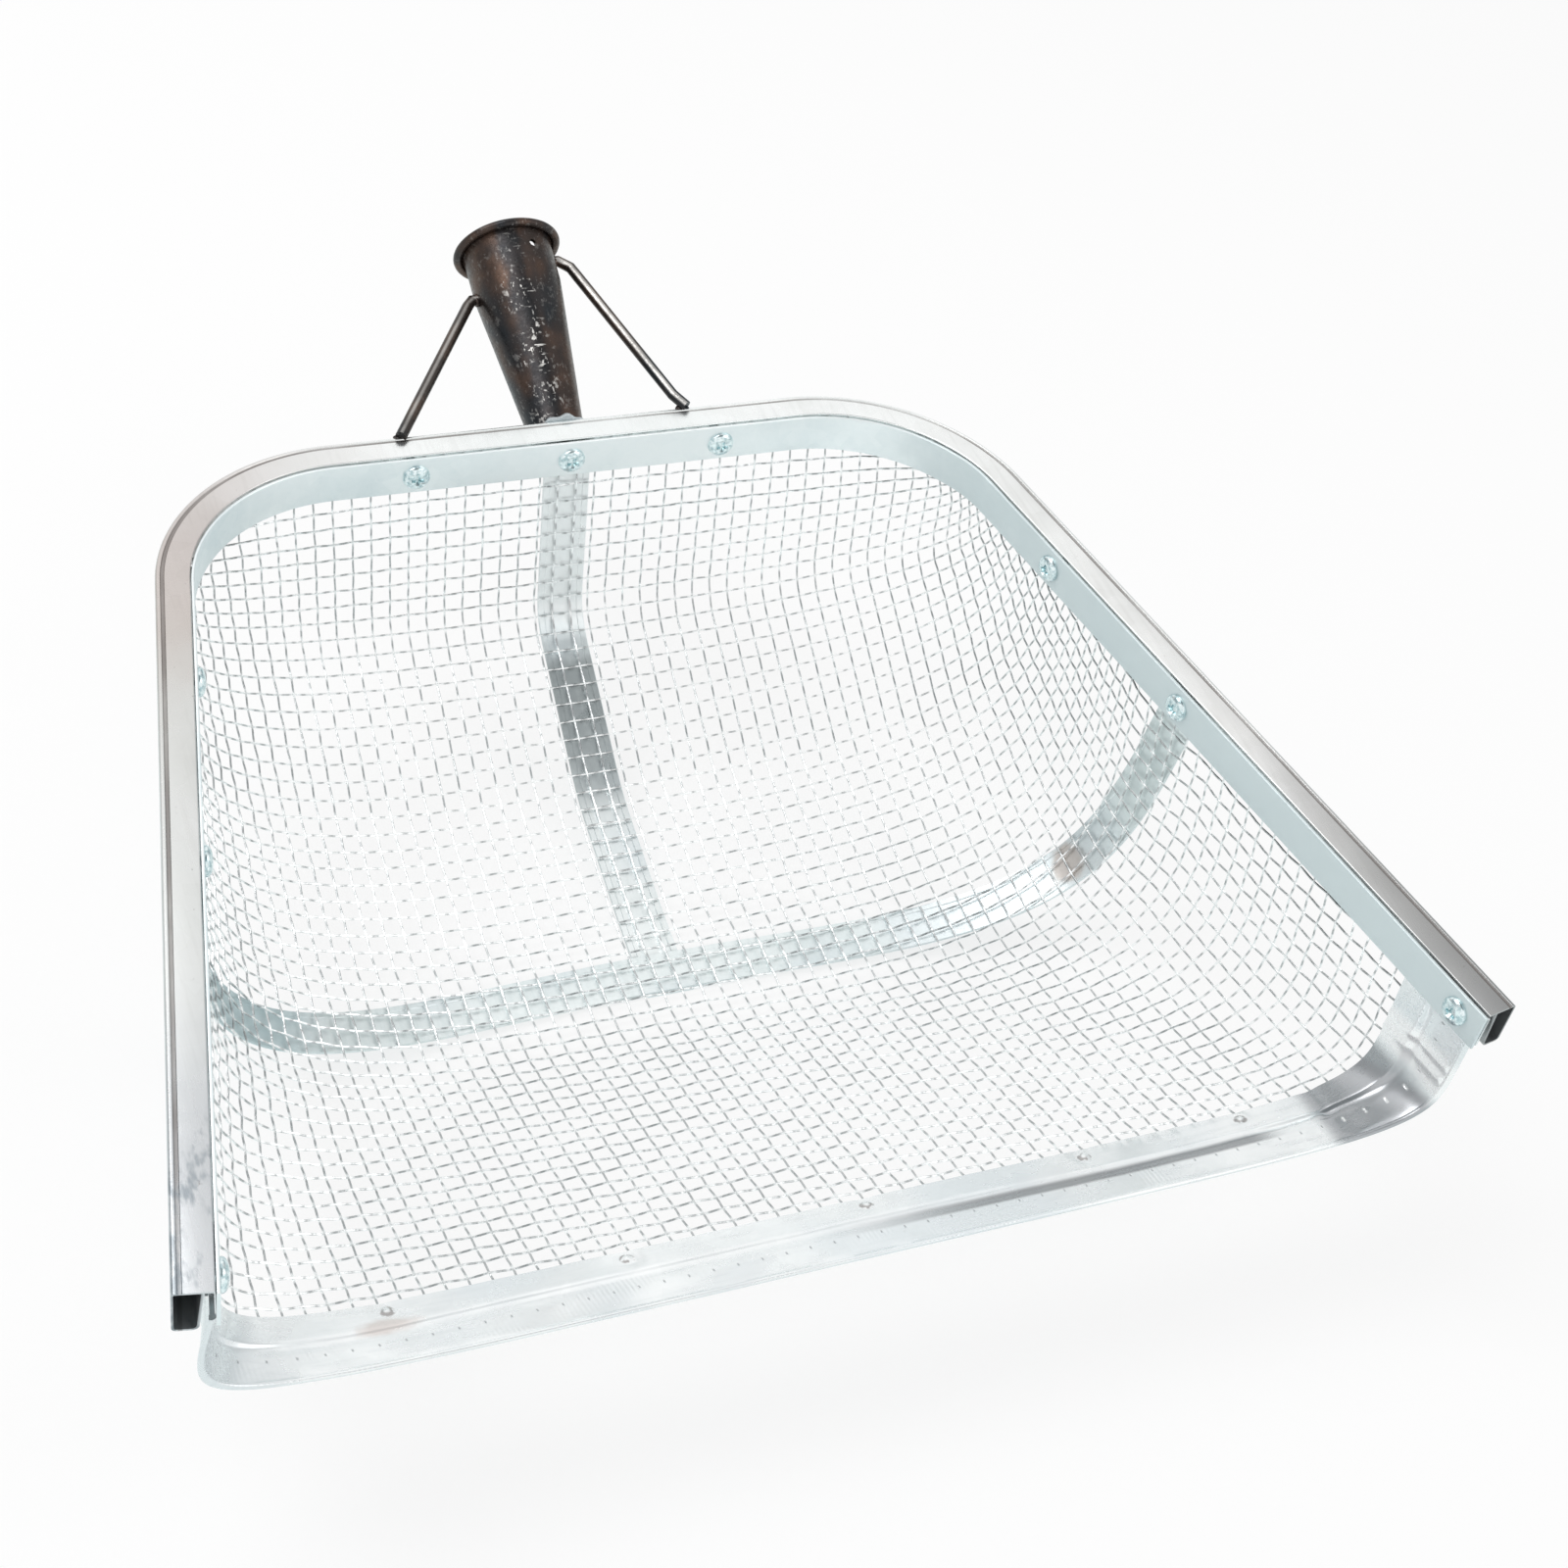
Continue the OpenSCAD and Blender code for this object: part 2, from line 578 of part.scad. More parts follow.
// Ends of a stay: its foot on the rim's top rear edge and its top on the socket's side
stay_lift = stay_r + seat_gap;
foot_inset = 3;
function socket_point(down, side, reach) = [side * reach,
    rim_l + socket_back - down * cos(socket_tilt), socket_rise - down * sin(socket_tilt)];
function stay_top(x, down) = socket_point(down, sign(x), cone_r(down) + stay_r * 0.6);
function stay_foot(x) = [x, rim_l - foot_inset, stay_lift];
module rod(from, to, r) {
    v = to - from;
    translate(from) rotate([0, acos(v[2] / norm(v)), atan2(v[1], v[0])])
        cylinder(r = r, h = norm(v), $fn = 32);
}
module stay(x, down) {
    rod(stay_foot(x), stay_top(x, down), stay_r);
}
module stay_cut(x, down) {
    difference() {
        stay(x, down);
        on_socket() {
            socket_outside(seat_gap);
            translate([0, 0, -3 * bead_r / 2 - seat_gap])
                cylinder(r = socket_r + 2 * bead_r, h = 3 * bead_r, $fn = round_fn);
        }
    }
}
module left_stay() { color(scaled_steel) in_place() stay_cut(-left_foot_x, left_top_down); }
module right_stay() { color(scaled_steel) in_place() stay_cut(right_foot_x, right_top_down); }

// Weld beads: a collar round an end of a stay, with the parts it joins taken away
weld_l = 7;
module collar(from, to) {
    v = to - from;
    translate(from) rotate([0, acos(v[2] / norm(v)), atan2(v[1], v[0])])
        cylinder(r1 = weld_r, r2 = stay_r + 0.3, h = weld_l, $fn = 32);
}
module foot_weld(x, down) {
    foot = stay_foot(x);
    top = stay_top(x, down);
    difference() {
        collar(foot, top);
        rod(foot - 0.1 * (top - foot), top, stay_r + weld_gap);
        translate([-mouth_w, -rim_l, -rim_h]) cube([2 * mouth_w, 2 * rim_l + weld_gap, rim_h + weld_gap]);
    }
}
module top_weld(x, down) {
    foot = stay_foot(x);
    top = stay_top(x, down);
    difference() {
        collar(top + (top - foot) * 0.03, foot);
        rod(foot, top + (top - foot) * 0.1, stay_r + weld_gap);
        on_socket() {
            socket_outside(weld_gap);
            translate([0, 0, -3 * bead_r / 2])
                cylinder(r = socket_r + 2 * bead_r, h = 3 * bead_r, $fn = round_fn);
        }
    }
}
module left_foot_weld() { color(scaled_steel) in_place() foot_weld(-left_foot_x, left_top_down); }
module right_foot_weld() { color(scaled_steel) in_place() foot_weld(right_foot_x, right_top_down); }
module left_top_weld() { color(scaled_steel) in_place() top_weld(-left_foot_x, left_top_down); }
module right_top_weld() { color(scaled_steel) in_place() top_weld(right_foot_x, right_top_down); }
module socket_weld() {
    bead = 3;
    bead_l = 2 * bead + socket_foot_r / 2;
    color(zinc) in_place() difference() {
        on_socket() translate([0, 0, -socket_l - bead])
            cylinder(r1 = socket_foot_r + bead, r2 = socket_foot_r, h = bead_l, $fn = round_fn);
        on_socket() socket_outside(weld_gap);
        ahead_of_back(weld_gap);
    }
}

rim_channel();
clamp_strip();
mesh_basket();
centre_strap();
cross_strap();
front_lip();
pole_socket();
left_stay();
right_stay();
socket_weld();
left_foot_weld();
right_foot_weld();
left_top_weld();
right_top_weld();
back_screws();
left_screws();
right_screws();
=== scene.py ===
"""Dressed model of a rigid wire-mesh pool scoop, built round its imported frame.

Sizes are millimetres in rim space, where Z = 0 is the rim's top face and Y = 0 its open
mouth, until a mesh is made. Meshes are metres in the frame's own space.
"""

import logging
import math
from dataclasses import dataclass, field
from enum import Enum
from functools import cached_property
from typing import Callable, Iterable, Sequence

import bmesh
import bpy
import numpy as np
from bpy.types import Material, Mesh, Node, NodeSocket, NodeTree, Object
from mathutils import Matrix, Vector, noise
from mathutils.geometry import tessellate_polygon


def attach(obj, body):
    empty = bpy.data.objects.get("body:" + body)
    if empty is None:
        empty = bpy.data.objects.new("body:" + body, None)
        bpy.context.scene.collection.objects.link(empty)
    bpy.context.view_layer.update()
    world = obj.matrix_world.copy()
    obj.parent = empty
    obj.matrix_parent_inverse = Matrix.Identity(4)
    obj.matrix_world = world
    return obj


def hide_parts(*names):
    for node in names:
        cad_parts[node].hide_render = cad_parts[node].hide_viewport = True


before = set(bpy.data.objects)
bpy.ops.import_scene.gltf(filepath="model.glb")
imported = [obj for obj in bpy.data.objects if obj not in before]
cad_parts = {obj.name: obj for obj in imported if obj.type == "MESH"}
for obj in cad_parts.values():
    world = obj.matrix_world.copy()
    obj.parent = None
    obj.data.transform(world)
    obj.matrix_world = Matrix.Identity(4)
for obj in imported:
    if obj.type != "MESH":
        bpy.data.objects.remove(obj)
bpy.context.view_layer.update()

LOG = logging.getLogger("scoop")
MM = 0.001
REST = np.array([0.0, 194.636, -145.438])   # rim-space point that stands at the frame's origin
BODY = "root"

Point = Sequence[float]
Colour = tuple[float, float, float]
Faces = list[tuple[int, ...]]
Solid = tuple[np.ndarray, Faces]

WHITE = (1.0, 1.0, 1.0)


class Slot(Enum):
    """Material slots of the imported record."""

    RIM = "rim_zinc"
    STRIP = "strip_zinc"
    WIRE = "mesh_wire"
    STRAP = "strap_zinc"
    LIP = "lip_zinc"
    STEEL = "scaled_steel"
    WELD = "weld_zinc"
    SCREW = "screw_zinc"


# ---------------------------------------------------------------- mesh helpers

def to_frame(points: np.ndarray) -> np.ndarray:
    """Turn rim-space millimetres into the frame's metres."""
    return (np.asarray(points, float) - REST) * MM


def tube(rings: np.ndarray, caps: bool = True) -> Solid:
    """Join closed rings of points into a solid.

    Args:
        rings: array of rings, points and coordinates.
        caps: whether both ends are closed.

    Returns:
        The points and the faces.
    """
    count, size = rings.shape[:2]
    faces = [(i * size + k, i * size + (k + 1) % size, (i + 1) * size + (k + 1) % size, (i + 1) * size + k)
             for i in range(count - 1) for k in range(size)]
    if caps:
        faces.append(tuple(range(size)))
        faces.append(tuple(reversed(range((count - 1) * size, count * size))))
    return rings.reshape(-1, 3), faces


def join(parts: Iterable[Solid]) -> Solid:
    """Put several solids into one list of points and one of faces.

    Args:
        parts: the solids.

    Returns:
        All points and all faces.
    """
    points: list[np.ndarray] = []
    faces: Faces = []
    start = 0
    for part_points, part_faces in parts:
        points.append(np.asarray(part_points, float))
        faces.extend(tuple(start + k for k in face) for face in part_faces)
        start += len(part_points)
    return np.vstack(points), faces


def clean_faces(work: bmesh.types.BMesh) -> None:
    """Merge doubles and point the faces outwards."""
    bmesh.ops.remove_doubles(work, verts=work.verts, dist=1e-6)
    bmesh.ops.recalc_face_normals(work, faces=work.faces)


def shade(mesh: Mesh, sharp: float) -> None:
    """Shade a mesh smooth, apart from edges past an angle in degrees."""
    mesh.shade_smooth()
    mesh.set_sharp_from_angle(angle=math.radians(sharp))


def in_scene(name: str, mesh: Mesh) -> Object:
    """Put a mesh in the scene as an object at the origin.

    Args:
        name: name of the object.
        mesh: its mesh.

    Returns:
        The object.
    """
    made = bpy.data.objects.new(name, mesh)
    bpy.context.scene.collection.objects.link(made)
    return made


def keep(mesh: Mesh, name: str, values: Sequence[float] | np.ndarray) -> None:
    """Keep a number or a vector for each point of a mesh, as one of its attributes.

    Args:
        mesh: the mesh, changed in place.
        name: name of the attribute.
        values: a number or a vector for each point.
    """
    values = np.asarray(values, np.float32)
    kind, key = ("FLOAT_VECTOR", "vector") if values.ndim == 2 else ("FLOAT", "value")
    mesh.attributes.new(name, kind, "POINT").data.foreach_set(key, values.ravel())


def new_piece(name: str, points: np.ndarray, faces: Faces, sharp: float = 35.0,
              sheet_place: np.ndarray | None = None) -> Object:
    """Make an object from rim-space points.

    Args:
        name: name of the piece.
        points: rim-space points in millimetres.
        faces: faces as numbers of points.
        sharp: angle in degrees past which an edge stays sharp.
        sheet_place: each point's place on the flat sheet in millimetres, kept as an attribute.

    Returns:
        The object, at the origin.
    """
    mesh = bpy.data.meshes.new(name)
    mesh.from_pydata(to_frame(points).tolist(), [], faces)
    if sheet_place is not None:
        keep(mesh, "sheet_place", sheet_place)
    work = bmesh.new()
    work.from_mesh(mesh)
    clean_faces(work)
    work.to_mesh(mesh)
    work.free()
    shade(mesh, sharp)
    return in_scene(name, mesh)


def place(piece: Object, slot: Slot, material: Material, *nodes: str) -> None:
    """Dress a piece and tell the frame what it rides on and stands for.

    Args:
        piece: the finished piece.
        slot: the record's slot; not used.
        material: the piece's finish.
        nodes: CAD nodes that it replaces.
    """
    piece.data.materials.clear()
    piece.data.materials.append(material)
    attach(piece, BODY)
    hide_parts(*nodes)
    LOG.info("%s: %d faces, stands for %s", piece.name, len(piece.data.polygons), ", ".join(nodes))


def apply_modifiers(piece: Object) -> None:
    """Turn a piece's live modifiers into plain mesh and remove them.

    Args:
        piece: the piece, changed in place.
    """
    depsgraph = bpy.context.evaluated_depsgraph_get()
    mesh = bpy.data.meshes.new_from_object(piece.evaluated_get(depsgraph), depsgraph=depsgraph)
    mesh.name = piece.name
    piece.modifiers.clear()
    piece.data = mesh


def cut_away(piece: Object, tool: Object) -> None:
    """Cut a tool's shape out of a piece and remove the tool.

    Args:
        piece: the piece, changed in place.
        tool: object whose shape is cut away.
    """
    cut = piece.modifiers.new("cut", "BOOLEAN")
    cut.object, cut.operation, cut.solver = tool, "DIFFERENCE", "EXACT"
    apply_modifiers(piece)
    bpy.data.objects.remove(tool)


def wobble(point: Point, size: float, seed: float = 0.0) -> float:
    """Smooth noise between about -1 and 1.

    Args:
        point: place in millimetres.
        size: size of the noise's features in millimetres.
        seed: shifts the pattern.

    Returns:
        The noise at the place.
    """
    return noise.noise(Vector((point[0] / size + seed, point[1] / size - seed, point[2] / size + 2 * seed)))


def rounded_corner(last: np.ndarray, here: np.ndarray, following: np.ndarray, radius: float,
                   steps: int) -> list[np.ndarray]:
    """Round a corner of an outline.

    Args:
        last: the corner before it.
        here: the corner.
        following: the corner after it.
        radius: radius of the arc.
        steps: number of steps in the arc.

    Returns:
        The arc's points.
    """
    before, after = here - last, following - here
    before, after = before / np.linalg.norm(before), after / np.linalg.norm(after)
    turn = math.acos(float(before @ after))
    start = here - before * radius * math.tan(turn / 2)
    side = after - before * float(after @ before)
    side = side / np.linalg.norm(side)
    return [start + before * radius * math.sin(a) + side * radius * (1 - math.cos(a))
            for a in (turn * k / steps for k in range(steps + 1))]


def rounded_loop(corners: Sequence[tuple[float, float, float]], steps: int = 4) -> np.ndarray:
    """Round the corners of a closed outline.

    Args:
        corners: sideways place, height and radius of each corner.
        steps: number of steps round a corner.

    Returns:
        The outline's points.
    """
    spots = [np.array(corner[:2]) for corner in corners]
    points: list[np.ndarray] = []
    for i, corner in enumerate(corners):
        points.extend(rounded_corner(spots[i - 1], spots[i], spots[(i + 1) % len(spots)], corner[2], steps))
    return np.array(points)


# ---------------------------------------------------------------- node trees

class NodeMaker:
    """Adds nodes to a tree."""

    def __init__(self, tree: NodeTree) -> None:
        """Hold the tree."""
        self.tree = tree

    def feed(self, socket: NodeSocket, value: object) -> None:
        """Link a socket, or set its value.

        Args:
            socket: input of a node.
            value: output of another node, or a plain value.
        """
        if isinstance(value, Value):
            value = value.socket
        if isinstance(value, NodeSocket):
            self.tree.links.new(value, socket)
        else:
            socket.default_value = value

    def add(self, kind: str, settings: dict[str, object] | None = None,
            **inputs: object) -> Node:
        """Add a node.

        Args:
            kind: the node's type name.
            settings: properties of the node.
            inputs: values or sockets for its inputs. An underscore stands for a space, and n with a
                number for the input of that number.

        Returns:
            The node.
        """
        made = self.tree.nodes.new(kind)
        for key, value in (settings or {}).items():
            setattr(made, key, value)
        for key, value in inputs.items():
            numbered = key[0] == "n" and key[1:].isdigit()
            self.feed(made.inputs[int(key[1:]) if numbered else key.replace("_", " ")], value)
        return made


class Value:
    """A shader node's output that can be reckoned with like a number."""

    def __init__(self, graph: "Graph", socket: NodeSocket) -> None:
        """Hold the output and its tree."""
        self.graph, self.socket = graph, socket

    def __add__(self, other: object) -> "Value":
        """Sum."""
        return self.graph.math("ADD", self, other)

    def __sub__(self, other: object) -> "Value":
        """Difference."""
        return self.graph.math("SUBTRACT", self, other)

    def __rsub__(self, other: object) -> "Value":
        """Difference from a plain number."""
        return self.graph.math("SUBTRACT", other, self)

    def __mul__(self, other: object) -> "Value":
        """Product."""
        return self.graph.math("MULTIPLY", self, other)

    def __truediv__(self, other: object) -> "Value":
        """Quotient."""
        return self.graph.math("DIVIDE", self, other)

    def __abs__(self) -> "Value":
        """Distance from zero."""
        return self.graph.math("ABSOLUTE", self)

    def ramp(self, low: float, high: float, to_low: float = 0.0, to_high: float = 1.0) -> "Value":
        """Map a range smoothly to another one."""
        return self.graph.value("ShaderNodeMapRange", 0, {"interpolation_type": "SMOOTHSTEP"}, Value=self,
                                From_Min=low, From_Max=high, To_Min=to_low, To_Max=to_high)

    def axes(self) -> list["Value"]:
        """X, Y and Z of a vector."""
        split = self.graph.add("ShaderNodeSeparateXYZ", Vector=self)
        return [Value(self.graph, output) for output in split.outputs]


class Graph(NodeMaker):
    """Shader tree of a material or world, with patterns on Object coordinates."""

    def __init__(self, tree: NodeTree) -> None:
        """Start from an empty tree."""
        super().__init__(tree)
        tree.nodes.clear()

    def value(self, kind: str, output: int | str = 0, settings: dict[str, object] | None = None,
              **inputs: object) -> Value:
        """Add a node and take the output of a number or name."""
        return Value(self, self.add(kind, settings, **inputs).outputs[output])

    @cached_property
    def where(self) -> Value:
        """Object coordinates."""
        return self.value("ShaderNodeTexCoord", "Object")

    def kept(self, name: str, output: str = "Fac") -> Value:
        """One of the piece's own attributes."""
        return self.value("ShaderNodeAttribute", output, {"attribute_name": name})

    def noise(self, millimetres: float, detail: float = 3.0, stretch: Point = (1.0, 1.0, 1.0),
              rough: float = 0.5) -> Value:
        """Noise with features of a stated size.

        Args:
            millimetres: size of the features.
            detail: octaves.
            stretch: how much longer the features are along each axis.
            rough: weight of the fine octaves.

        Returns:
            A value from 0 to 1.
        """
        scaled = self.value("ShaderNodeMapping", Vector=self.where,
                            Scale=tuple(1000.0 / millimetres / s for s in stretch))
        return self.value("ShaderNodeTexNoise", Vector=scaled, Scale=1.0, Detail=detail, Roughness=rough)

    def cells(self, millimetres: float) -> Value:
        """Crystal-like cells, each with a random value from 0 to 1."""
        cells = self.value("ShaderNodeTexVoronoi", "Color", Vector=self.where, Scale=1000.0 / millimetres)
        return self.value("ShaderNodeSeparateColor", Color=cells)

    def math(self, operation: str, first: object, second: object = 0.0) -> Value:
        """Arithmetic on one or two values."""
        return self.value("ShaderNodeMath", 0, {"operation": operation}, n0=first, n1=second)

    def far(self, first: Value, second: Value) -> Value:
        """Length of a vector with two parts."""
        return self.math("SQRT", first * first + second * second)

    def mix(self, share: object, first: Value | Colour, second: Value | Colour) -> Value:
        """Mix two colours, each a plain one or a node's."""
        first, second = (c if isinstance(c, Value) else (*c, 1.0) for c in (first, second))
        return self.value("ShaderNodeMix", 2, {"data_type": "RGBA"}, n0=share, n6=first, n7=second)

    def bump(self, height: Value, millimetres: float) -> Value:
        """Normal from a height between 0 and 1 that stands for a relief of a real size."""
        return self.value("ShaderNodeBump", Height=height, Strength=1.0, Distance=millimetres * MM)


# ---------------------------------------------------------------- finishes

def new_material(name: str) -> tuple[Material, Graph]:
    """Start a material with an empty tree.

    Args:
        name: name of the material.

    Returns:
        The material and its tree.
    """
    made = bpy.data.materials.new(name)
    made.use_nodes = True
    return made, Graph(made.node_tree)


@dataclass(frozen=True)
class Finish:
    """A metal finish; each kind says what the metal looks like.

    Attributes:
        name: name of the material.
    """

    name: str

    def look(self, graph: Graph) -> dict[str, object]:
        """Inputs of the metal's shader."""
        raise NotImplementedError

    def material(self) -> Material:
        """Build the material."""
        made, graph = new_material(self.name)
        shader = graph.add("ShaderNodeBsdfPrincipled", **self.look(graph))
        graph.add("ShaderNodeOutputMaterial", Surface=shader.outputs[0])
        return made


@dataclass(frozen=True)
class ZincSheet(Finish):
    """Hot-dip zinc on sheet: crystals, clouded patches, drawn streaks and stains.

    Attributes:
        colour: bright zinc.
        dull: weathered zinc.
        tint: colour of the clouded patches.
        rough: roughness of the bright metal.
        streak: how strongly the drawing streaks show.
        stretch: direction of the streaks.
        stain: share of brown stains.
        relief: height of the surface's unevenness in millimetres.
        end_axis: axis along which one end of the piece takes another tone, 0 for X and 2 for Z.
        end_tone: places in metres where that tone starts and where it is full, or None.
        end_colour: colour of that end, which is also less metallic.
        painted_reflection_band: places along Y in metres between which a dark reflection is painted:
            start, darkest, end of the darkest part and end.
        rust: place of a rusty patch in metres, or None.
        crystal: size of the zinc crystals in millimetres.
        blot: colour of the brown stains.
        worn: colour of the painted dark reflection band.
        rusty: colour of the rusty patch.
    """

    colour: Colour = (0.80, 0.82, 0.83)
    dull: Colour = (0.60, 0.62, 0.63)
    tint: Colour = (0.74, 0.80, 0.83)
    rough: float = 0.28
    streak: float = 0.3
    stretch: tuple[float, float, float] = (1.0, 14.0, 1.0)
    stain: float = 0.05
    relief: float = 0.05
    end_axis: int = 2
    end_tone: tuple[float, float] | None = None
    end_colour: Colour = (0.97, 1.0, 1.0)
    painted_reflection_band: tuple[float, float, float, float] | None = None
    rust: tuple[float, float, float] | None = None
    crystal: float = 7.0
    blot: Colour = (0.33, 0.25, 0.20)
    worn: Colour = (0.42, 0.45, 0.45)
    rusty: Colour = (0.52, 0.42, 0.36)

    def extras(self, graph: Graph, base: Value, height: Value) -> tuple[Value, Value, object]:
        """Add the marks of one sheet: another tone at one end, a painted dark reflection band and rust.

        Args:
            graph: tree of the material.
            base: colour so far.
            height: relief so far.

        Returns:
            The colour, the relief and how metallic the sheet is.
        """
        if self.end_tone is None:
            return base, height, 1.0
        axes = graph.where.axes()
        ragged = graph.noise(14.0, 3.0).ramp(0.3, 0.7, -0.006, 0.006)
        # One end takes another, less metallic tone; the strip's darker right leg is painted shade.
        share = (axes[self.end_axis] + ragged).ramp(*self.end_tone)
        base = graph.mix(share * 0.9, base, self.end_colour)
        # Painted dark reflection: a band along Y where the metal is darkened.
        if self.painted_reflection_band is not None:
            start, dark, end, last = self.painted_reflection_band
            band = axes[1].ramp(start, dark) * axes[1].ramp(last, end)
            base = graph.mix(band * 0.75, base, self.worn)
        if self.rust is not None:
            apart = graph.value("ShaderNodeVectorMath", "Value", {"operation": "DISTANCE"},
                                n0=graph.where, n1=self.rust)
            spread = apart + graph.noise(8.0, 3.0) * 0.008
            base = graph.mix(spread.ramp(0.0145, 0.0095, 0.0, 0.6), base, self.rusty)
        return base, height, 1.0 - share * 0.45

    def look(self, graph: Graph) -> dict[str, object]:
        """Inputs of the sheet's shader.

        Args:
            graph: tree of the material.

        Returns:
            The inputs by name.
        """
        clouds = graph.noise(46.0, 4.0)
        streaks = graph.noise(2.2, 4.0, self.stretch)
        weathered = clouds.ramp(0.35, 0.7) * 0.5 + graph.cells(self.crystal) * 0.22
        weathered = weathered + streaks.ramp(0.45, 0.75) * self.streak
        base = graph.mix(weathered, self.colour, self.dull)
        base = graph.mix(graph.noise(80.0, 2.0).ramp(0.45, 0.62), base, graph.mix(0.5, base, self.tint))
        if self.stain:
            spots = graph.noise(9.0, 5.0, rough=0.65).ramp(0.74 - self.stain, 0.80, 0.0, 0.5)
            base = graph.mix(spots, base, self.blot)
        height = clouds + (streaks * 0.12 + graph.noise(0.9, 3.0) * 0.06)
        base, height, metal = self.extras(graph, base, height)
        return {"Base_Color": base, "Metallic": metal, "Roughness": weathered * 0.22 + (self.rough - 0.06),
                "Normal": graph.bump(height, self.relief * 4)}


@dataclass(frozen=True)
class RimSheet(ZincSheet):
    """Zinc sheet of the rim, whose tone changes along it.

    Attributes:
        tones: distance along the rim in millimetres with the zinc's colour there.
        groove_at: distance of the groove, with its dirt and painted shade, from the outer face in
            millimetres.
        groove_dirt_and_shade: colour of the dirt and painted shade in the groove.
        speck: colour of the specks.
        smear: colour of the smears at the left leg's end.
        smeared: distances along the rim at which the smears start and are full.
        hollow: painted shade inside the box, as a dark colour.
    """

    tones: tuple[tuple[float, Colour], ...] = (
        (0.0, (0.42, 0.42, 0.42)), (70.0, (0.54, 0.54, 0.535)), (110.0, (0.72, 0.72, 0.715)),
        (150.0, (0.91, 0.91, 0.90)), (430.0, (0.955, 0.975, 0.97)), (600.0, (0.955, 0.975, 0.97)),
        (660.0, (0.82, 0.80, 0.79)), (720.0, (0.66, 0.61, 0.59)), (775.0, (0.64, 0.59, 0.56)),
        (825.0, (0.74, 0.745, 0.73)), (940.0, (0.80, 0.815, 0.81)), (1010.0, (0.62, 0.64, 0.66)),
        (1064.0, (0.70, 0.72, 0.74)))
    groove_at: float = 2.65
    groove_dirt_and_shade: Colour = (0.20, 0.18, 0.17)
    speck: Colour = (0.22, 0.20, 0.19)
    smear: Colour = (0.26, 0.30, 0.33)
    smeared: tuple[float, float] = (985.0, 1015.0)
    hollow: Colour = (0.10, 0.12, 0.13)

    def tone(self, graph: Graph, along: Value) -> Value:
        """Colour of the zinc along the rim.

        Args:
            graph: tree of the material.
            along: distance along the rim.

        Returns:
            The colour, with ragged changes.
        """
        ramp = graph.tree.nodes.new("ShaderNodeValToRGB")
        length = self.tones[-1][0]
        for k, (at, colour) in enumerate(self.tones):
            stop = ramp.color_ramp.elements[k] if k < 2 else ramp.color_ramp.elements.new(at / length)
            stop.position, stop.color = at / length, (*colour, 1.0)
        graph.feed(ramp.inputs[0], (along + graph.noise(25.0, 3.0) * 40.0 - 20.0) / length)
        return Value(graph, ramp.outputs[0])

    def extras(self, graph: Graph, base: Value, height: Value) -> tuple[Value, Value, object]:
        """Add the changing tone, dirt and painted shade in the groove, specks, smears and painted shade
        inside the box.

        Args:
            graph: tree of the material.
            base: colour so far.
            height: relief so far.

        Returns:
            The colour, the relief and how metallic the sheet is.
        """
        along, inwards, _ = graph.kept("sheet_place", "Vector").axes()
        base = graph.value("ShaderNodeMixRGB", 0, {"blend_type": "MULTIPLY"}, Fac=1.0, Color1=base,
                           Color2=self.tone(graph, along))
        # Dirt and painted shade darken the groove.
        groove = abs(inwards - self.groove_at).ramp(0.9, 0.45, 0.0, 0.8)
        base = graph.mix(groove * graph.noise(60.0, 3.0).ramp(0.3, 0.6, 0.45, 1.0), base, self.groove_dirt_and_shade)
        base = graph.mix(graph.noise(5.0, 5.0, rough=0.7).ramp(0.66, 0.74, 0.0, 0.6), base, self.speck)
        smears = graph.noise(11.0, 4.0, (1.0, 2.5, 1.0), 0.65).ramp(0.50, 0.64, 0.0, 0.75)
        base = graph.mix(along.ramp(*self.smeared) * smears, base, self.smear)
        # Painted shade inside the box: its inner skin is darkened and made less metallic.
        inside = graph.kept("inside")
        return graph.mix(inside * 0.7, base, self.hollow), height, 1.0 - inside * 0.5


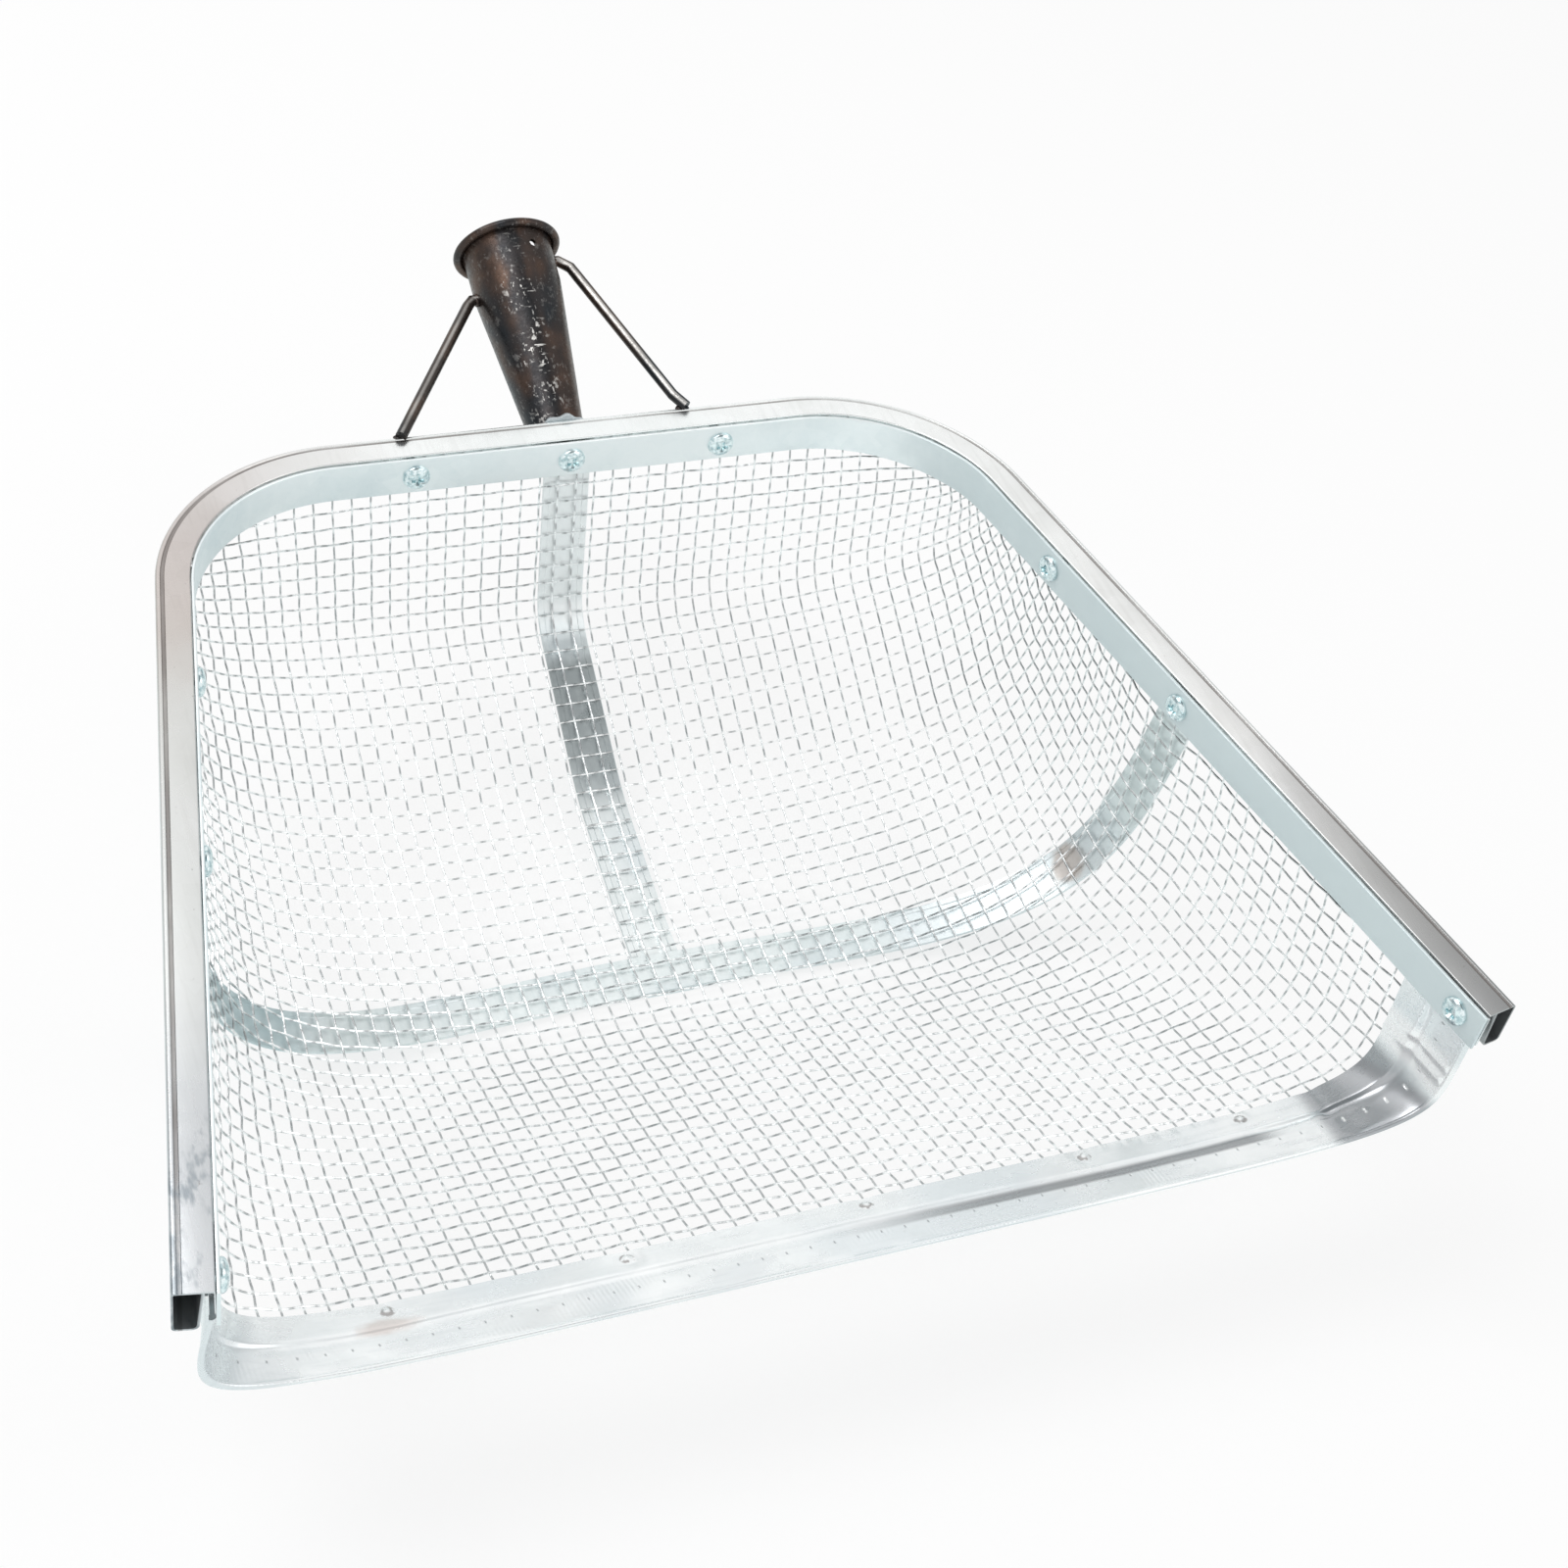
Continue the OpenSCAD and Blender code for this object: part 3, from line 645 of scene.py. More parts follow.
@dataclass(frozen=True)
class LipSheet(ZincSheet):
    """Zinc sheet of the lip, with the marks of the folding tools, a painted dark reflection and a painted
    highlight.

    Attributes:
        rust_at: place of the rust, sideways and back from the hem, in millimetres.
        step: distance of the step from the hem.
        marks: places of the clinches.
        rib: distance between the ribs that the rollers leave.
        dot: distance between the dots that the punch leaves.
        dots_at: distance of the row of dots from the hem.
        painted_dark_reflection: places sideways between which a dark reflection is painted on the lip:
            start, full, full and end.
        painted_fold_highlight: the same for the painted highlight on the fold beside it.
    """

    rust_at: tuple[float, float] = (-165.0, 22.0)
    step: float = 19.5
    marks: tuple[tuple[float, float], ...] = ()
    rib: float = 1.7
    dot: float = 9.0
    dots_at: float = 12.5
    painted_dark_reflection: tuple[float, float, float, float] = (186.0, 194.0, 225.0, 232.0)
    painted_fold_highlight: tuple[float, float, float, float] = (230.0, 234.0, 246.0, 252.0)

    @staticmethod
    def between(wide: Value, places: tuple[float, float, float, float]) -> Value:
        """1 between two places and 0 outside them, with soft ends."""
        return wide.ramp(places[0], places[1]) * wide.ramp(places[3], places[2])

    def extras(self, graph: Graph, base: Value, height: Value) -> tuple[Value, Value, object]:
        """Add ribs, dots with painted shade, the shaded groove, a painted dark reflection with painted
        glints, rust, clinches and a painted fold highlight.

        Args:
            graph: tree of the material.
            base: colour so far.
            height: relief so far.

        Returns:
            The colour, the relief and how metallic the sheet is.
        """
        wide, back, _ = graph.kept("sheet_place", "Vector").axes()
        rolled = graph.noise(30.0, 3.0).ramp(0.42, 0.6) * back.ramp(20.0, 17.0)
        ribs = graph.math("SINE", wide * (2 * math.pi / self.rib)) * 0.12 * rolled * wide.ramp(165.0, 135.0)
        turn = abs(graph.math("SINE", wide * (math.pi / self.dot)))
        row = abs(back - self.dots_at)
        dots = turn.ramp(0.16, 0.02) * row.ramp(1.3, 0.3)
        dot_glints = turn.ramp(0.30, 0.05) * row.ramp(2.2, 0.8)
        height = height + (ribs - dots * 1.3)
        # Painted shade in the punch dents.
        base = graph.mix(dots * 0.55, base, (0.22, 0.23, 0.24))
        groove = abs(back - (self.step - 2.8)).ramp(3.8, 1.8)
        shaded = self.between(wide, (-20.0, 60.0, 160.0, 178.0))
        base = graph.mix(groove * (shaded * 0.85), base, (0.26, 0.27, 0.28))
        # Painted dark reflection across part of the lip, with painted glints on the punch dents inside it.
        patch = self.between(wide, self.painted_dark_reflection)
        base = graph.mix(patch * 0.75, base, (0.32, 0.33, 0.35))
        base = graph.mix(patch * dot_glints, base, (0.95, 0.96, 0.96))
        apart = graph.far((wide - self.rust_at[0]) * 0.4, back - self.rust_at[1])
        apart = apart + graph.noise(9.0, 4.0) * 6.0
        base = graph.mix(apart.ramp(8.5, 5.0, 0.0, 0.55), base, (0.62, 0.52, 0.47))
        ring_breaks = graph.noise(3.2, 2.0).ramp(0.46, 0.58, 0.05, 0.8)
        # A dark, broken ring round each clinch.
        for mark, behind in self.marks:
            ring = abs(graph.far(wide - mark, back - behind) - 1.9).ramp(1.2, 0.3)
            base = graph.mix(ring * ring_breaks, base, (0.30, 0.28, 0.27))
        metal = 1.0 - (1.0 - patch) * 0.3
        # Painted highlight on the fold beside the painted dark reflection.
        return graph.mix(self.between(wide, self.painted_fold_highlight), base, WHITE), height, metal


@dataclass(frozen=True)
class ZincWire(Finish):
    """Galvanised wire, with a painted highlight where the wires cross and plainer metal between.

    Attributes:
        bright: painted highlight where the crimp peaks at the crossings.
        colour: plain metal.
        dull: dull metal.
        painted_highlight: height of the crimp from which the highlight is painted, and where it is
            brightest.
        rough: roughness of the plain metal.
    """

    name: str = "cross_wire"
    bright: Colour = (0.95, 0.96, 0.96)
    colour: Colour = (0.62, 0.635, 0.635)
    dull: Colour = (0.40, 0.41, 0.415)
    painted_highlight: tuple[float, float] = (0.18, 0.68)
    rough: float = 0.32

    def look(self, graph: Graph) -> dict[str, object]:
        """Inputs of the wire's shader.

        Args:
            graph: tree of the material.

        Returns:
            The inputs by name.
        """
        grains = graph.noise(1.1, 3.0)
        height = abs(graph.kept("crest")) + graph.noise(26.0, 3.0).ramp(0.3, 0.7, -0.18, 0.18)
        base = graph.mix(grains.ramp(0.35, 0.7, 0.0, 0.8), self.colour, self.dull)
        # Painted highlight where the crimp peaks.
        return {"Base_Color": graph.mix(height.ramp(*self.painted_highlight), base, self.bright), "Metallic": 1.0,
                "Roughness": grains.ramp(0.3, 0.7, self.rough - 0.1, self.rough + 0.1),
                "Normal": graph.bump(grains, 0.05)}


@dataclass(frozen=True)
class ScaledSteel(Finish):
    """Hot-rolled steel under dark brown scale, scratched through to bright metal.

    Attributes:
        scale: dark scale.
        brown: browner scale.
        blue: blue-black scale.
        bare: scratched metal.
        scratches: how much of the surface is scratched.
        streak_x: sideways place of the scratched streak in metres.
        streak_end: places along Y in metres where the streak fades and where it is full.
        top_highlight: strength of the painted highlight along the upward side of a rod.
        top: direction that gets the painted highlight.
    """

    name: str = "scaled_steel"
    scale: Colour = (0.045, 0.034, 0.030)
    brown: Colour = (0.095, 0.058, 0.042)
    blue: Colour = (0.022, 0.027, 0.032)
    bare: Colour = (0.75, 0.73, 0.70)
    scratches: float = 1.0
    streak_x: float = -0.0040
    streak_end: tuple[float, float] = (0.266, 0.246)
    top_highlight: float = 0.0
    top: tuple[float, float, float] = (-0.22, -0.45, 0.865)

    def worn(self, graph: Graph, x: Value, y: Value) -> Value:
        """How far the scale is scratched away.

        Args:
            graph: tree of the material.
            x: place sideways.
            y: place from front to back.

        Returns:
            A value from 0 to 1.
        """
        streak = abs(x - self.streak_x).ramp(0.0085, 0.001) * y.ramp(*self.streak_end, 0.12, 1.0)
        here = graph.noise(13.0, 3.0).ramp(0.36, 0.56) * (streak * 0.9 + 0.12)
        lengthways = graph.noise(1.0, 2.0, (1.0, 9.0, 2.0), 0.55).ramp(0.62, 0.70)
        crossways = graph.noise(0.9, 2.0, (7.0, 2.0, 1.0), 0.55).ramp(0.64, 0.72)
        flecks = graph.noise(2.6, 4.0, (1.0, 1.8, 1.0), 0.6).ramp(0.58, 0.66)
        lines = graph.math("MAXIMUM", lengthways, crossways)
        return graph.math("MAXIMUM", lines, flecks) * here * self.scratches

    def look(self, graph: Graph) -> dict[str, object]:
        """Inputs of the steel's shader.

        Args:
            graph: tree of the material.

        Returns:
            The inputs by name.
        """
        x, y, _ = graph.where.axes()
        clouds = graph.noise(16.0, 4.0)
        grain = graph.noise(1.3, 4.0, rough=0.6)
        base = graph.mix(clouds.ramp(0.38, 0.66), self.scale, self.brown)
        base = graph.mix(graph.noise(24.0, 2.0, (1.0, 3.0, 1.0)).ramp(0.5, 0.66), base, self.blue)
        side = x + graph.noise(12.0, 3.0) * 0.006
        band = side.ramp(-0.008, -0.004) * side.ramp(0.006, 0.001)
        base = graph.mix(band * 0.75, base, self.blue)
        worn = self.worn(graph, x, y)
        base = graph.mix(worn, base, self.bare)
        # Painted highlight along the side that faces the top direction.
        if self.top_highlight:
            normal = graph.value("ShaderNodeNewGeometry", "Normal")
            facing = graph.value("ShaderNodeVectorMath", "Value", {"operation": "DOT_PRODUCT"},
                                 n0=normal, n1=self.top)
            painted_highlight = facing.ramp(0.84, 1.0) * clouds.ramp(0.25, 0.6, self.top_highlight * 0.5, self.top_highlight)
            base = graph.mix(painted_highlight, base, self.bare)
        return {"Base_Color": base, "Metallic": 0.75,
                "Roughness": grain.ramp(0.3, 0.7, 0.24, 0.44) + worn * 0.15,
                "Normal": graph.bump(grain - worn, 0.08)}


@dataclass(frozen=True)
class PlatedScrew(Finish):
    """Blue-white plated screw with dull patches.

    Attributes:
        colour: bright plating.
        dull: dull plating.
    """

    name: str = "plated_screw"
    colour: Colour = (0.84, 0.93, 0.94)
    dull: Colour = (0.48, 0.62, 0.65)

    def look(self, graph: Graph) -> dict[str, object]:
        """Inputs of the screw's shader.

        Args:
            graph: tree of the material.

        Returns:
            The inputs by name.
        """
        grain = graph.noise(1.6, 4.0)
        return {"Base_Color": graph.mix(grain.ramp(0.4, 0.65), self.colour, self.dull), "Metallic": 1.0,
                "Roughness": grain.ramp(0.3, 0.7, 0.08, 0.2), "Normal": graph.bump(grain, 0.015)}


# ---------------------------------------------------------------- shapes that the parts share

@dataclass(frozen=True)
class Station:
    """A place on the rim's outer face.

    Attributes:
        x: distance sideways.
        y: distance from the mouth.
        inward: direction into the scoop.
        along: distance along the rim.
    """

    x: float
    y: float
    inward: tuple[float, float]
    along: float = 0.0

    def at(self, inwards: float, z: float) -> tuple[float, float, float]:
        """Point at a distance inwards from the rim's outer face."""
        return (self.x + self.inward[0] * inwards, self.y + self.inward[1] * inwards, z)


@dataclass(frozen=True)
class RimPlan:
    """Plan of the rim's outer face: two splayed legs, two corners and the back.

    Attributes:
        mouth_w: width at the open mouth.
        back_w: width that the legs' lines reach at the back.
        length: length from the mouth to the back.
        corner_r: radius of the corners.
    """

    mouth_w: float = 475.0
    back_w: float = 338.0
    length: float = 380.0
    corner_r: float = 83.0

    @property
    def splay(self) -> float:
        """Angle of the legs in radians."""
        return math.atan((self.mouth_w - self.back_w) / 2 / self.length)

    @property
    def cut_off(self) -> float:
        """Length that a corner takes from the leg and from the back."""
        return self.corner_r * math.tan((math.pi / 2 - self.splay) / 2)

    @property
    def back_half(self) -> float:
        """Half length of the straight back."""
        return self.back_w / 2 - self.cut_off

    @property
    def corner_y(self) -> float:
        """Distance of the corners' centres from the mouth."""
        return self.length - self.corner_r

    @property
    def leg(self) -> float:
        """Length of a leg's straight part."""
        return self.length / math.cos(self.splay) - self.cut_off

    def stations(self, step: float, corner_steps: int) -> list[Station]:
        """Places along the rim from the right leg's mouth round to the left leg's.

        Args:
            step: greatest distance between places on the straight parts.
            corner_steps: number of steps round a corner.

        Returns:
            The places.
        """
        cos, sin = math.cos(self.splay), math.sin(self.splay)
        arc_x, arc_y = self.back_half + self.corner_r * cos, self.corner_y + self.corner_r * sin
        half: list[Station] = []
        leg_steps = math.ceil(self.leg / step)
        for k in range(leg_steps):
            left = self.leg * (1 - k / leg_steps)
            half.append(Station(arc_x + left * sin, arc_y - left * cos, (-cos, -sin), self.leg - left))
        for k in range(corner_steps + 1):
            turn = self.splay + (math.pi / 2 - self.splay) * k / corner_steps
            half.append(Station(self.back_half + self.corner_r * math.cos(turn),
                                self.corner_y + self.corner_r * math.sin(turn),
                                (-math.cos(turn), -math.sin(turn)),
                                self.leg + self.corner_r * (turn - self.splay)))
        arc_end = half[-1].along
        back_steps = math.ceil(self.back_half / step)
        for k in range(1, back_steps + 1):
            moved = self.back_half * k / back_steps
            half.append(Station(self.back_half - moved, self.length, (0.0, -1.0), arc_end + moved))
        total = 2 * half[-1].along
        return half + [Station(-s.x, s.y, (-s.inward[0], s.inward[1]), total - s.along)
                       for s in reversed(half[:-1])]

    def leg_place(self, y: float, side: int) -> Station:
        """Place on a leg.

        Args:
            y: distance from the mouth.
            side: 1 for the right leg, -1 for the left one.

        Returns:
            The place.
        """
        cos, sin = math.cos(self.splay), math.sin(self.splay)
        moved = (self.corner_y + self.corner_r * sin - y) / cos
        x = self.back_half + self.corner_r * cos + moved * sin
        return Station(side * x, y, (-side * cos, -sin))

    def back_place(self, x: float) -> Station:
        """Place on the back at a sideways distance."""
        return Station(x, self.length, (0.0, -1.0))


RIM = RimPlan()
STRAP_IN = 9.85      # layers of the clamped joint, inwards from the rim's outer face
MESH_IN = 12.05
STRIP_IN = 13.15
CLAMP_IN = 14.45
PAN_TOP = 18.3       # depth at which the pan leaves the clamp
STRAP_TOP = 4.0      # depth at which the straps and the lip's tabs end in the clamp
SCREW_DROP = 9.7


@dataclass
class PanSurface:
    """Middle surface of the pressed mesh pan, by distance back and distance sideways.

    Attributes:
        floor: distance back, depth and radius at each corner of the floor's line.
        square: share of the floor's length with the squareness of the cross-section there.
        last_straight: distance back up to which the cross-sections are upright.
        edge_end: distance from the mouth at which the last cross-section meets the edge.
        flare: how far the left end of the front edge bends outwards.
        flare_back: how far back that bend reaches.
        flare_share: share of the front edge that is bent.
        steps: number of steps in half a cross-section.
        line: distance along the floor, distance back and height of the floor's points.
        length: length of the floor's line.
        known: cross-sections worked out so far.
    """

    floor: tuple[tuple[float, float, float], ...] = (
        (0.0, 68.5, 0.0), (168.0, 142.0, 60.0), (222.0, 142.0, 90.0), (285.0, 129.0, 80.0),
        (357.95, 89.0, 24.0), (367.95, 18.3, 0.0))
    square: tuple[tuple[float, float], ...] = (
        (0.0, 6.5), (0.08, 6.8), (0.34, 3.7), (0.85, 2.8), (0.95, 2.8), (1.0, 3.7))
    last_straight: float = 200.0
    edge_end: float = 350.0
    flare: float = 4.2
    flare_back: float = 55.0
    flare_share: float = 0.26
    steps: int = 120
    line: np.ndarray = field(init=False)
    length: float = field(init=False)
    known: dict[tuple[float, float], tuple[np.ndarray, ...]] = field(init=False, default_factory=dict)

    def __post_init__(self) -> None:
        """Round the floor's corners and measure its line."""
        corners = [np.array([back, -depth]) for back, depth, _ in self.floor]
        points = [corners[0]]
        for last, here, following, (_, _, radius) in zip(corners, corners[1:], corners[2:], self.floor[1:]):
            points.extend(rounded_corner(last, here, following, radius, 12))
        plan = np.array([*points, corners[-1]])
        run = np.concatenate([[0.0], np.cumsum(np.linalg.norm(np.diff(plan, axis=0), axis=1))])
        self.line = np.column_stack([run, plan])
        self.length = float(run[-1])

    def edge_x(self, y: float) -> float:
        """Half width of the pan's edge.

        Args:
            y: distance from the mouth.

        Returns:
            The half width.
        """
        reach = RIM.corner_r - MESH_IN
        if y <= RIM.corner_y + reach * math.sin(RIM.splay):
            return RIM.mouth_w / 2 - MESH_IN / math.cos(RIM.splay) - y * math.tan(RIM.splay)
        return RIM.back_half + math.sqrt(max(reach * reach - (y - RIM.corner_y) ** 2, 0.0))

    def edge_y(self, s: float) -> float:
        """Distance from the mouth at which a cross-section meets the edge.

        Args:
            s: distance along the floor from the mouth.

        Returns:
            The distance.
        """
        if s <= self.last_straight:
            return s
        share = (s - self.last_straight) / (self.length - self.last_straight)
        return self.last_straight + share * (self.edge_end - self.last_straight)

    def section(self, s: float, off: float = 0.0) -> tuple[np.ndarray, ...]:
        """Half cross-section at distance s along the floor.

        Args:
            s: distance along the floor from the mouth.
            off: distance outside the mesh.

        Returns:
            Its top middle, downward direction, developed distances, sideways and downward reaches.
        """
        key = (round(s, 4), round(off, 4))
        if key in self.known:
            return self.known[key]
        y = self.edge_y(s)
        top = np.array([0.0, y, -PAN_TOP])
        low = np.array([0.0, *(np.interp(s, self.line[:, 0], self.line[:, k]) for k in (1, 2))])
        reach = float(np.linalg.norm(low - top))
        down = (low - top) / reach
        power = 2 / np.interp(s / self.length, *zip(*self.square))
        turn = np.linspace(math.pi / 2, 0, self.steps + 1)
        across = (self.edge_x(y) + off) * np.cos(turn).clip(0) ** power
        deep = (reach + off) * np.sin(turn).clip(0) ** power
        run = np.concatenate([[0.0], np.cumsum(np.hypot(np.diff(across), np.diff(deep)))])
        self.known[key] = (top, down, run, across, deep)
        return self.known[key]

    def half_length(self, s: float) -> float:
        """Developed length of half the cross-section at s."""
        return float(self.section(s)[2][-1])

    def points(self, s: float, shares: np.ndarray, off: float = 0.0) -> np.ndarray:
        """Points at distance s along the floor.

        Args:
            s: distance along the floor from the mouth.
            shares: 0 in the middle, 1 at the right edge, -1 at the left edge.
            off: distance outside the mesh.

        Returns:
            The points in rim space.
        """
        top, down, run, across, deep = self.section(s, off)
        shares = np.asarray(shares, float)
        reach = np.abs(shares) * run[-1]
        side = np.sign(shares) * np.interp(reach, run, across)
        near_edge = np.sin(math.pi * np.clip((1 + shares) / self.flare_share, 0.0, 1.0))
        side = side - self.flare * near_edge * max(0.0, 1 - s / self.flare_back) ** 1.5
        return top + np.outer(side, [1.0, 0.0, 0.0]) + np.outer(np.interp(reach, run, deep), down)

    def at(self, s: float, wide: np.ndarray) -> np.ndarray:
        """Points at distance s along the floor and developed distances sideways."""
        return self.points(s, wide / self.half_length(s))

    def inward(self, s: float, wide: np.ndarray) -> np.ndarray:
        """Unit vectors that point into the pan.

        Args:
            s: distance along the floor from the mouth.
            wide: developed distances sideways.

        Returns:
            The vectors.
        """
        step = 1.5
        limit = self.half_length(s)
        low, high = (self.points(k, wide / limit) for k in (max(s - step, 0.0), min(s + step, self.length)))
        left, right = (self.at(s, np.clip(wide + k, -limit, limit)) for k in (-step, step))
        normal = np.cross(right - left, high - low)
        return normal / np.linalg.norm(normal, axis=1, keepdims=True)


PAN = PanSurface()


# ---------------------------------------------------------------- geometry-node trees

class NodeTool(NodeMaker):
    """Builds a Geometry Nodes tree and turns its result into a plain mesh."""

    def __init__(self, name: str, **numbers: float | int) -> None:
        """Start a tree that takes and gives geometry.

        Args:
            name: name of the tree.
            numbers: the tree's named inputs; underscores stand for spaces.
        """
        super().__init__(bpy.data.node_groups.new(name, "GeometryNodeTree"))
        new_socket = self.tree.interface.new_socket
        for side in ("INPUT", "OUTPUT"):
            new_socket("Geometry", in_out=side, socket_type="NodeSocketGeometry")
        self.values: dict[str, float | int] = {}
        for key, number in numbers.items():
            kind = "NodeSocketInt" if isinstance(number, int) else "NodeSocketFloat"
            socket = new_socket(key.replace("_", " "), in_out="INPUT", socket_type=kind)
            self.values[socket.identifier] = number
        self.source = self.tree.nodes.new("NodeGroupInput")

    def given(self, name: str) -> NodeSocket:
        """Socket of one of the tree's inputs."""
        return self.source.outputs[name]

    def kept(self, name: str) -> NodeSocket:
        """A vector attribute of the points."""
        return self.add("GeometryNodeInputNamedAttribute", {"data_type": "FLOAT_VECTOR"},
                        Name=name).outputs["Attribute"]

    def close(self, geometry: NodeSocket, material: Material) -> None:
        """End the tree in Realize Instances and Set Material.

        Args:
            geometry: the tree's result.
            material: its finish.
        """
        plain = self.add("GeometryNodeRealizeInstances", Geometry=geometry)
        dressed = self.add("GeometryNodeSetMaterial", Geometry=plain.outputs[0], Material=material)
        self.add("NodeGroupOutput", n0=dressed.outputs[0])

    def run(self, piece: Object, sharp: float = 50.0) -> Object:
        """Evaluate the tree on a piece and keep the plain mesh.

        Args:
            piece: object that carries the tree's input.
            sharp: angle in degrees past which an edge stays sharp.

        Returns:
            The piece with its final mesh.
        """
        modifier = piece.modifiers.new(self.tree.name, "NODES")
        modifier.node_group = self.tree
        for identifier, number in self.values.items():
            modifier[identifier] = number
        apply_modifiers(piece)
        shade(piece.data, sharp)
        return piece


def line_carrier(name: str, lines: Sequence[np.ndarray], lifts: Sequence[np.ndarray] | None = None,
                 crests: Sequence[np.ndarray] | None = None) -> Object:
    """Make an object of plain edges from lines of points.

    Args:
        name: name of the object.
        lines: rim-space points of each line.
        lifts: a vector for each point, kept as the attribute "lift"; zero if None.
        crests: a number for each point, kept as the attribute "crest".

    Returns:
        The object.
    """
    mesh = bpy.data.meshes.new(name)
    edges: list[tuple[int, int]] = []
    start = 0
    for line in lines:
        edges.extend((start + k, start + k + 1) for k in range(len(line) - 1))
        start += len(line)
    mesh.from_pydata(to_frame(np.vstack(lines)).tolist(), edges, [])
    keep(mesh, "lift", np.zeros((start, 3)) if lifts is None else np.vstack(lifts))
    if crests is not None:
        keep(mesh, "crest", np.concatenate(crests))
    return in_scene(name, mesh)


def wires_along(name: str, lines: Sequence[np.ndarray], radius: float, sides: int,
                material: Material, crimp: float = 0.0,
                lifts: Sequence[np.ndarray] | None = None,
                crests: Sequence[np.ndarray] | None = None) -> Object:
    """Draw round wires along lines of points.

    Args:
        name: name of the piece.
        lines: rim-space points of each wire's middle.
        radius: radius of the wires in millimetres.
        sides: number of sides of a wire.
        material: finish of the wires.
        crimp: how far a wire swings to either side in millimetres.
        lifts: direction in which each point is pushed by the crimp, or None.
        crests: 1 where a wire is at its highest and -1 at its lowest, or None.

    Returns:
        The piece.
    """
    tool = NodeTool(name + "_tree", Wire_Radius=radius * MM, Sides=sides, Crimp=crimp * MM)
    push = tool.add("ShaderNodeVectorMath", {"operation": "SCALE"}, n0=tool.kept("lift"),
                    Scale=tool.given("Crimp"))
    woven = tool.add("GeometryNodeSetPosition", Geometry=tool.given("Geometry"), Offset=push.outputs[0])
    curves = tool.add("GeometryNodeMeshToCurve", Mesh=woven.outputs[0])
    ring = tool.add("GeometryNodeCurvePrimitiveCircle", Resolution=tool.given("Sides"),
                    Radius=tool.given("Wire Radius"))
    wires = tool.add("GeometryNodeCurveToMesh", Curve=curves.outputs[0], Profile_Curve=ring.outputs[0],
                     Fill_Caps=True)
    tool.close(wires.outputs[0], material)
    return tool.run(line_carrier(name, lines, lifts, crests))


def copies_at(name: str, pattern: Object, places: Sequence[tuple[Point, Point]],
              material: Material) -> Object:
    """Put copies of a pattern at places, each turned to a direction.

    Args:
        name: name of the piece.
        pattern: object that is copied, with +Z as its direction; it is removed afterwards.
        places: rim-space point and direction of each copy.
        material: finish of the copies.

    Returns:
        The piece.
    """
    tool = NodeTool(name + "_tree", Size=1.0)
    turned = tool.add("FunctionNodeAlignRotationToVector", {"axis": "Z"}, Vector=tool.kept("lift"))
    shape = tool.add("GeometryNodeObjectInfo", Object=pattern)
    points = tool.add("GeometryNodeMeshToPoints", Mesh=tool.given("Geometry"))
    copies = tool.add("GeometryNodeInstanceOnPoints", Points=points.outputs[0],
                      Instance=shape.outputs["Geometry"], Rotation=turned.outputs[0],
                      Scale=tool.given("Size"))
    tool.close(copies.outputs[0], material)
    spots, ways = ([np.array([p[k]]) for p in places] for k in (0, 1))
    piece = tool.run(line_carrier(name, spots, ways), 40.0)
    bpy.data.objects.remove(pattern)
    return piece


# ---------------------------------------------------------------- sub-assemblies

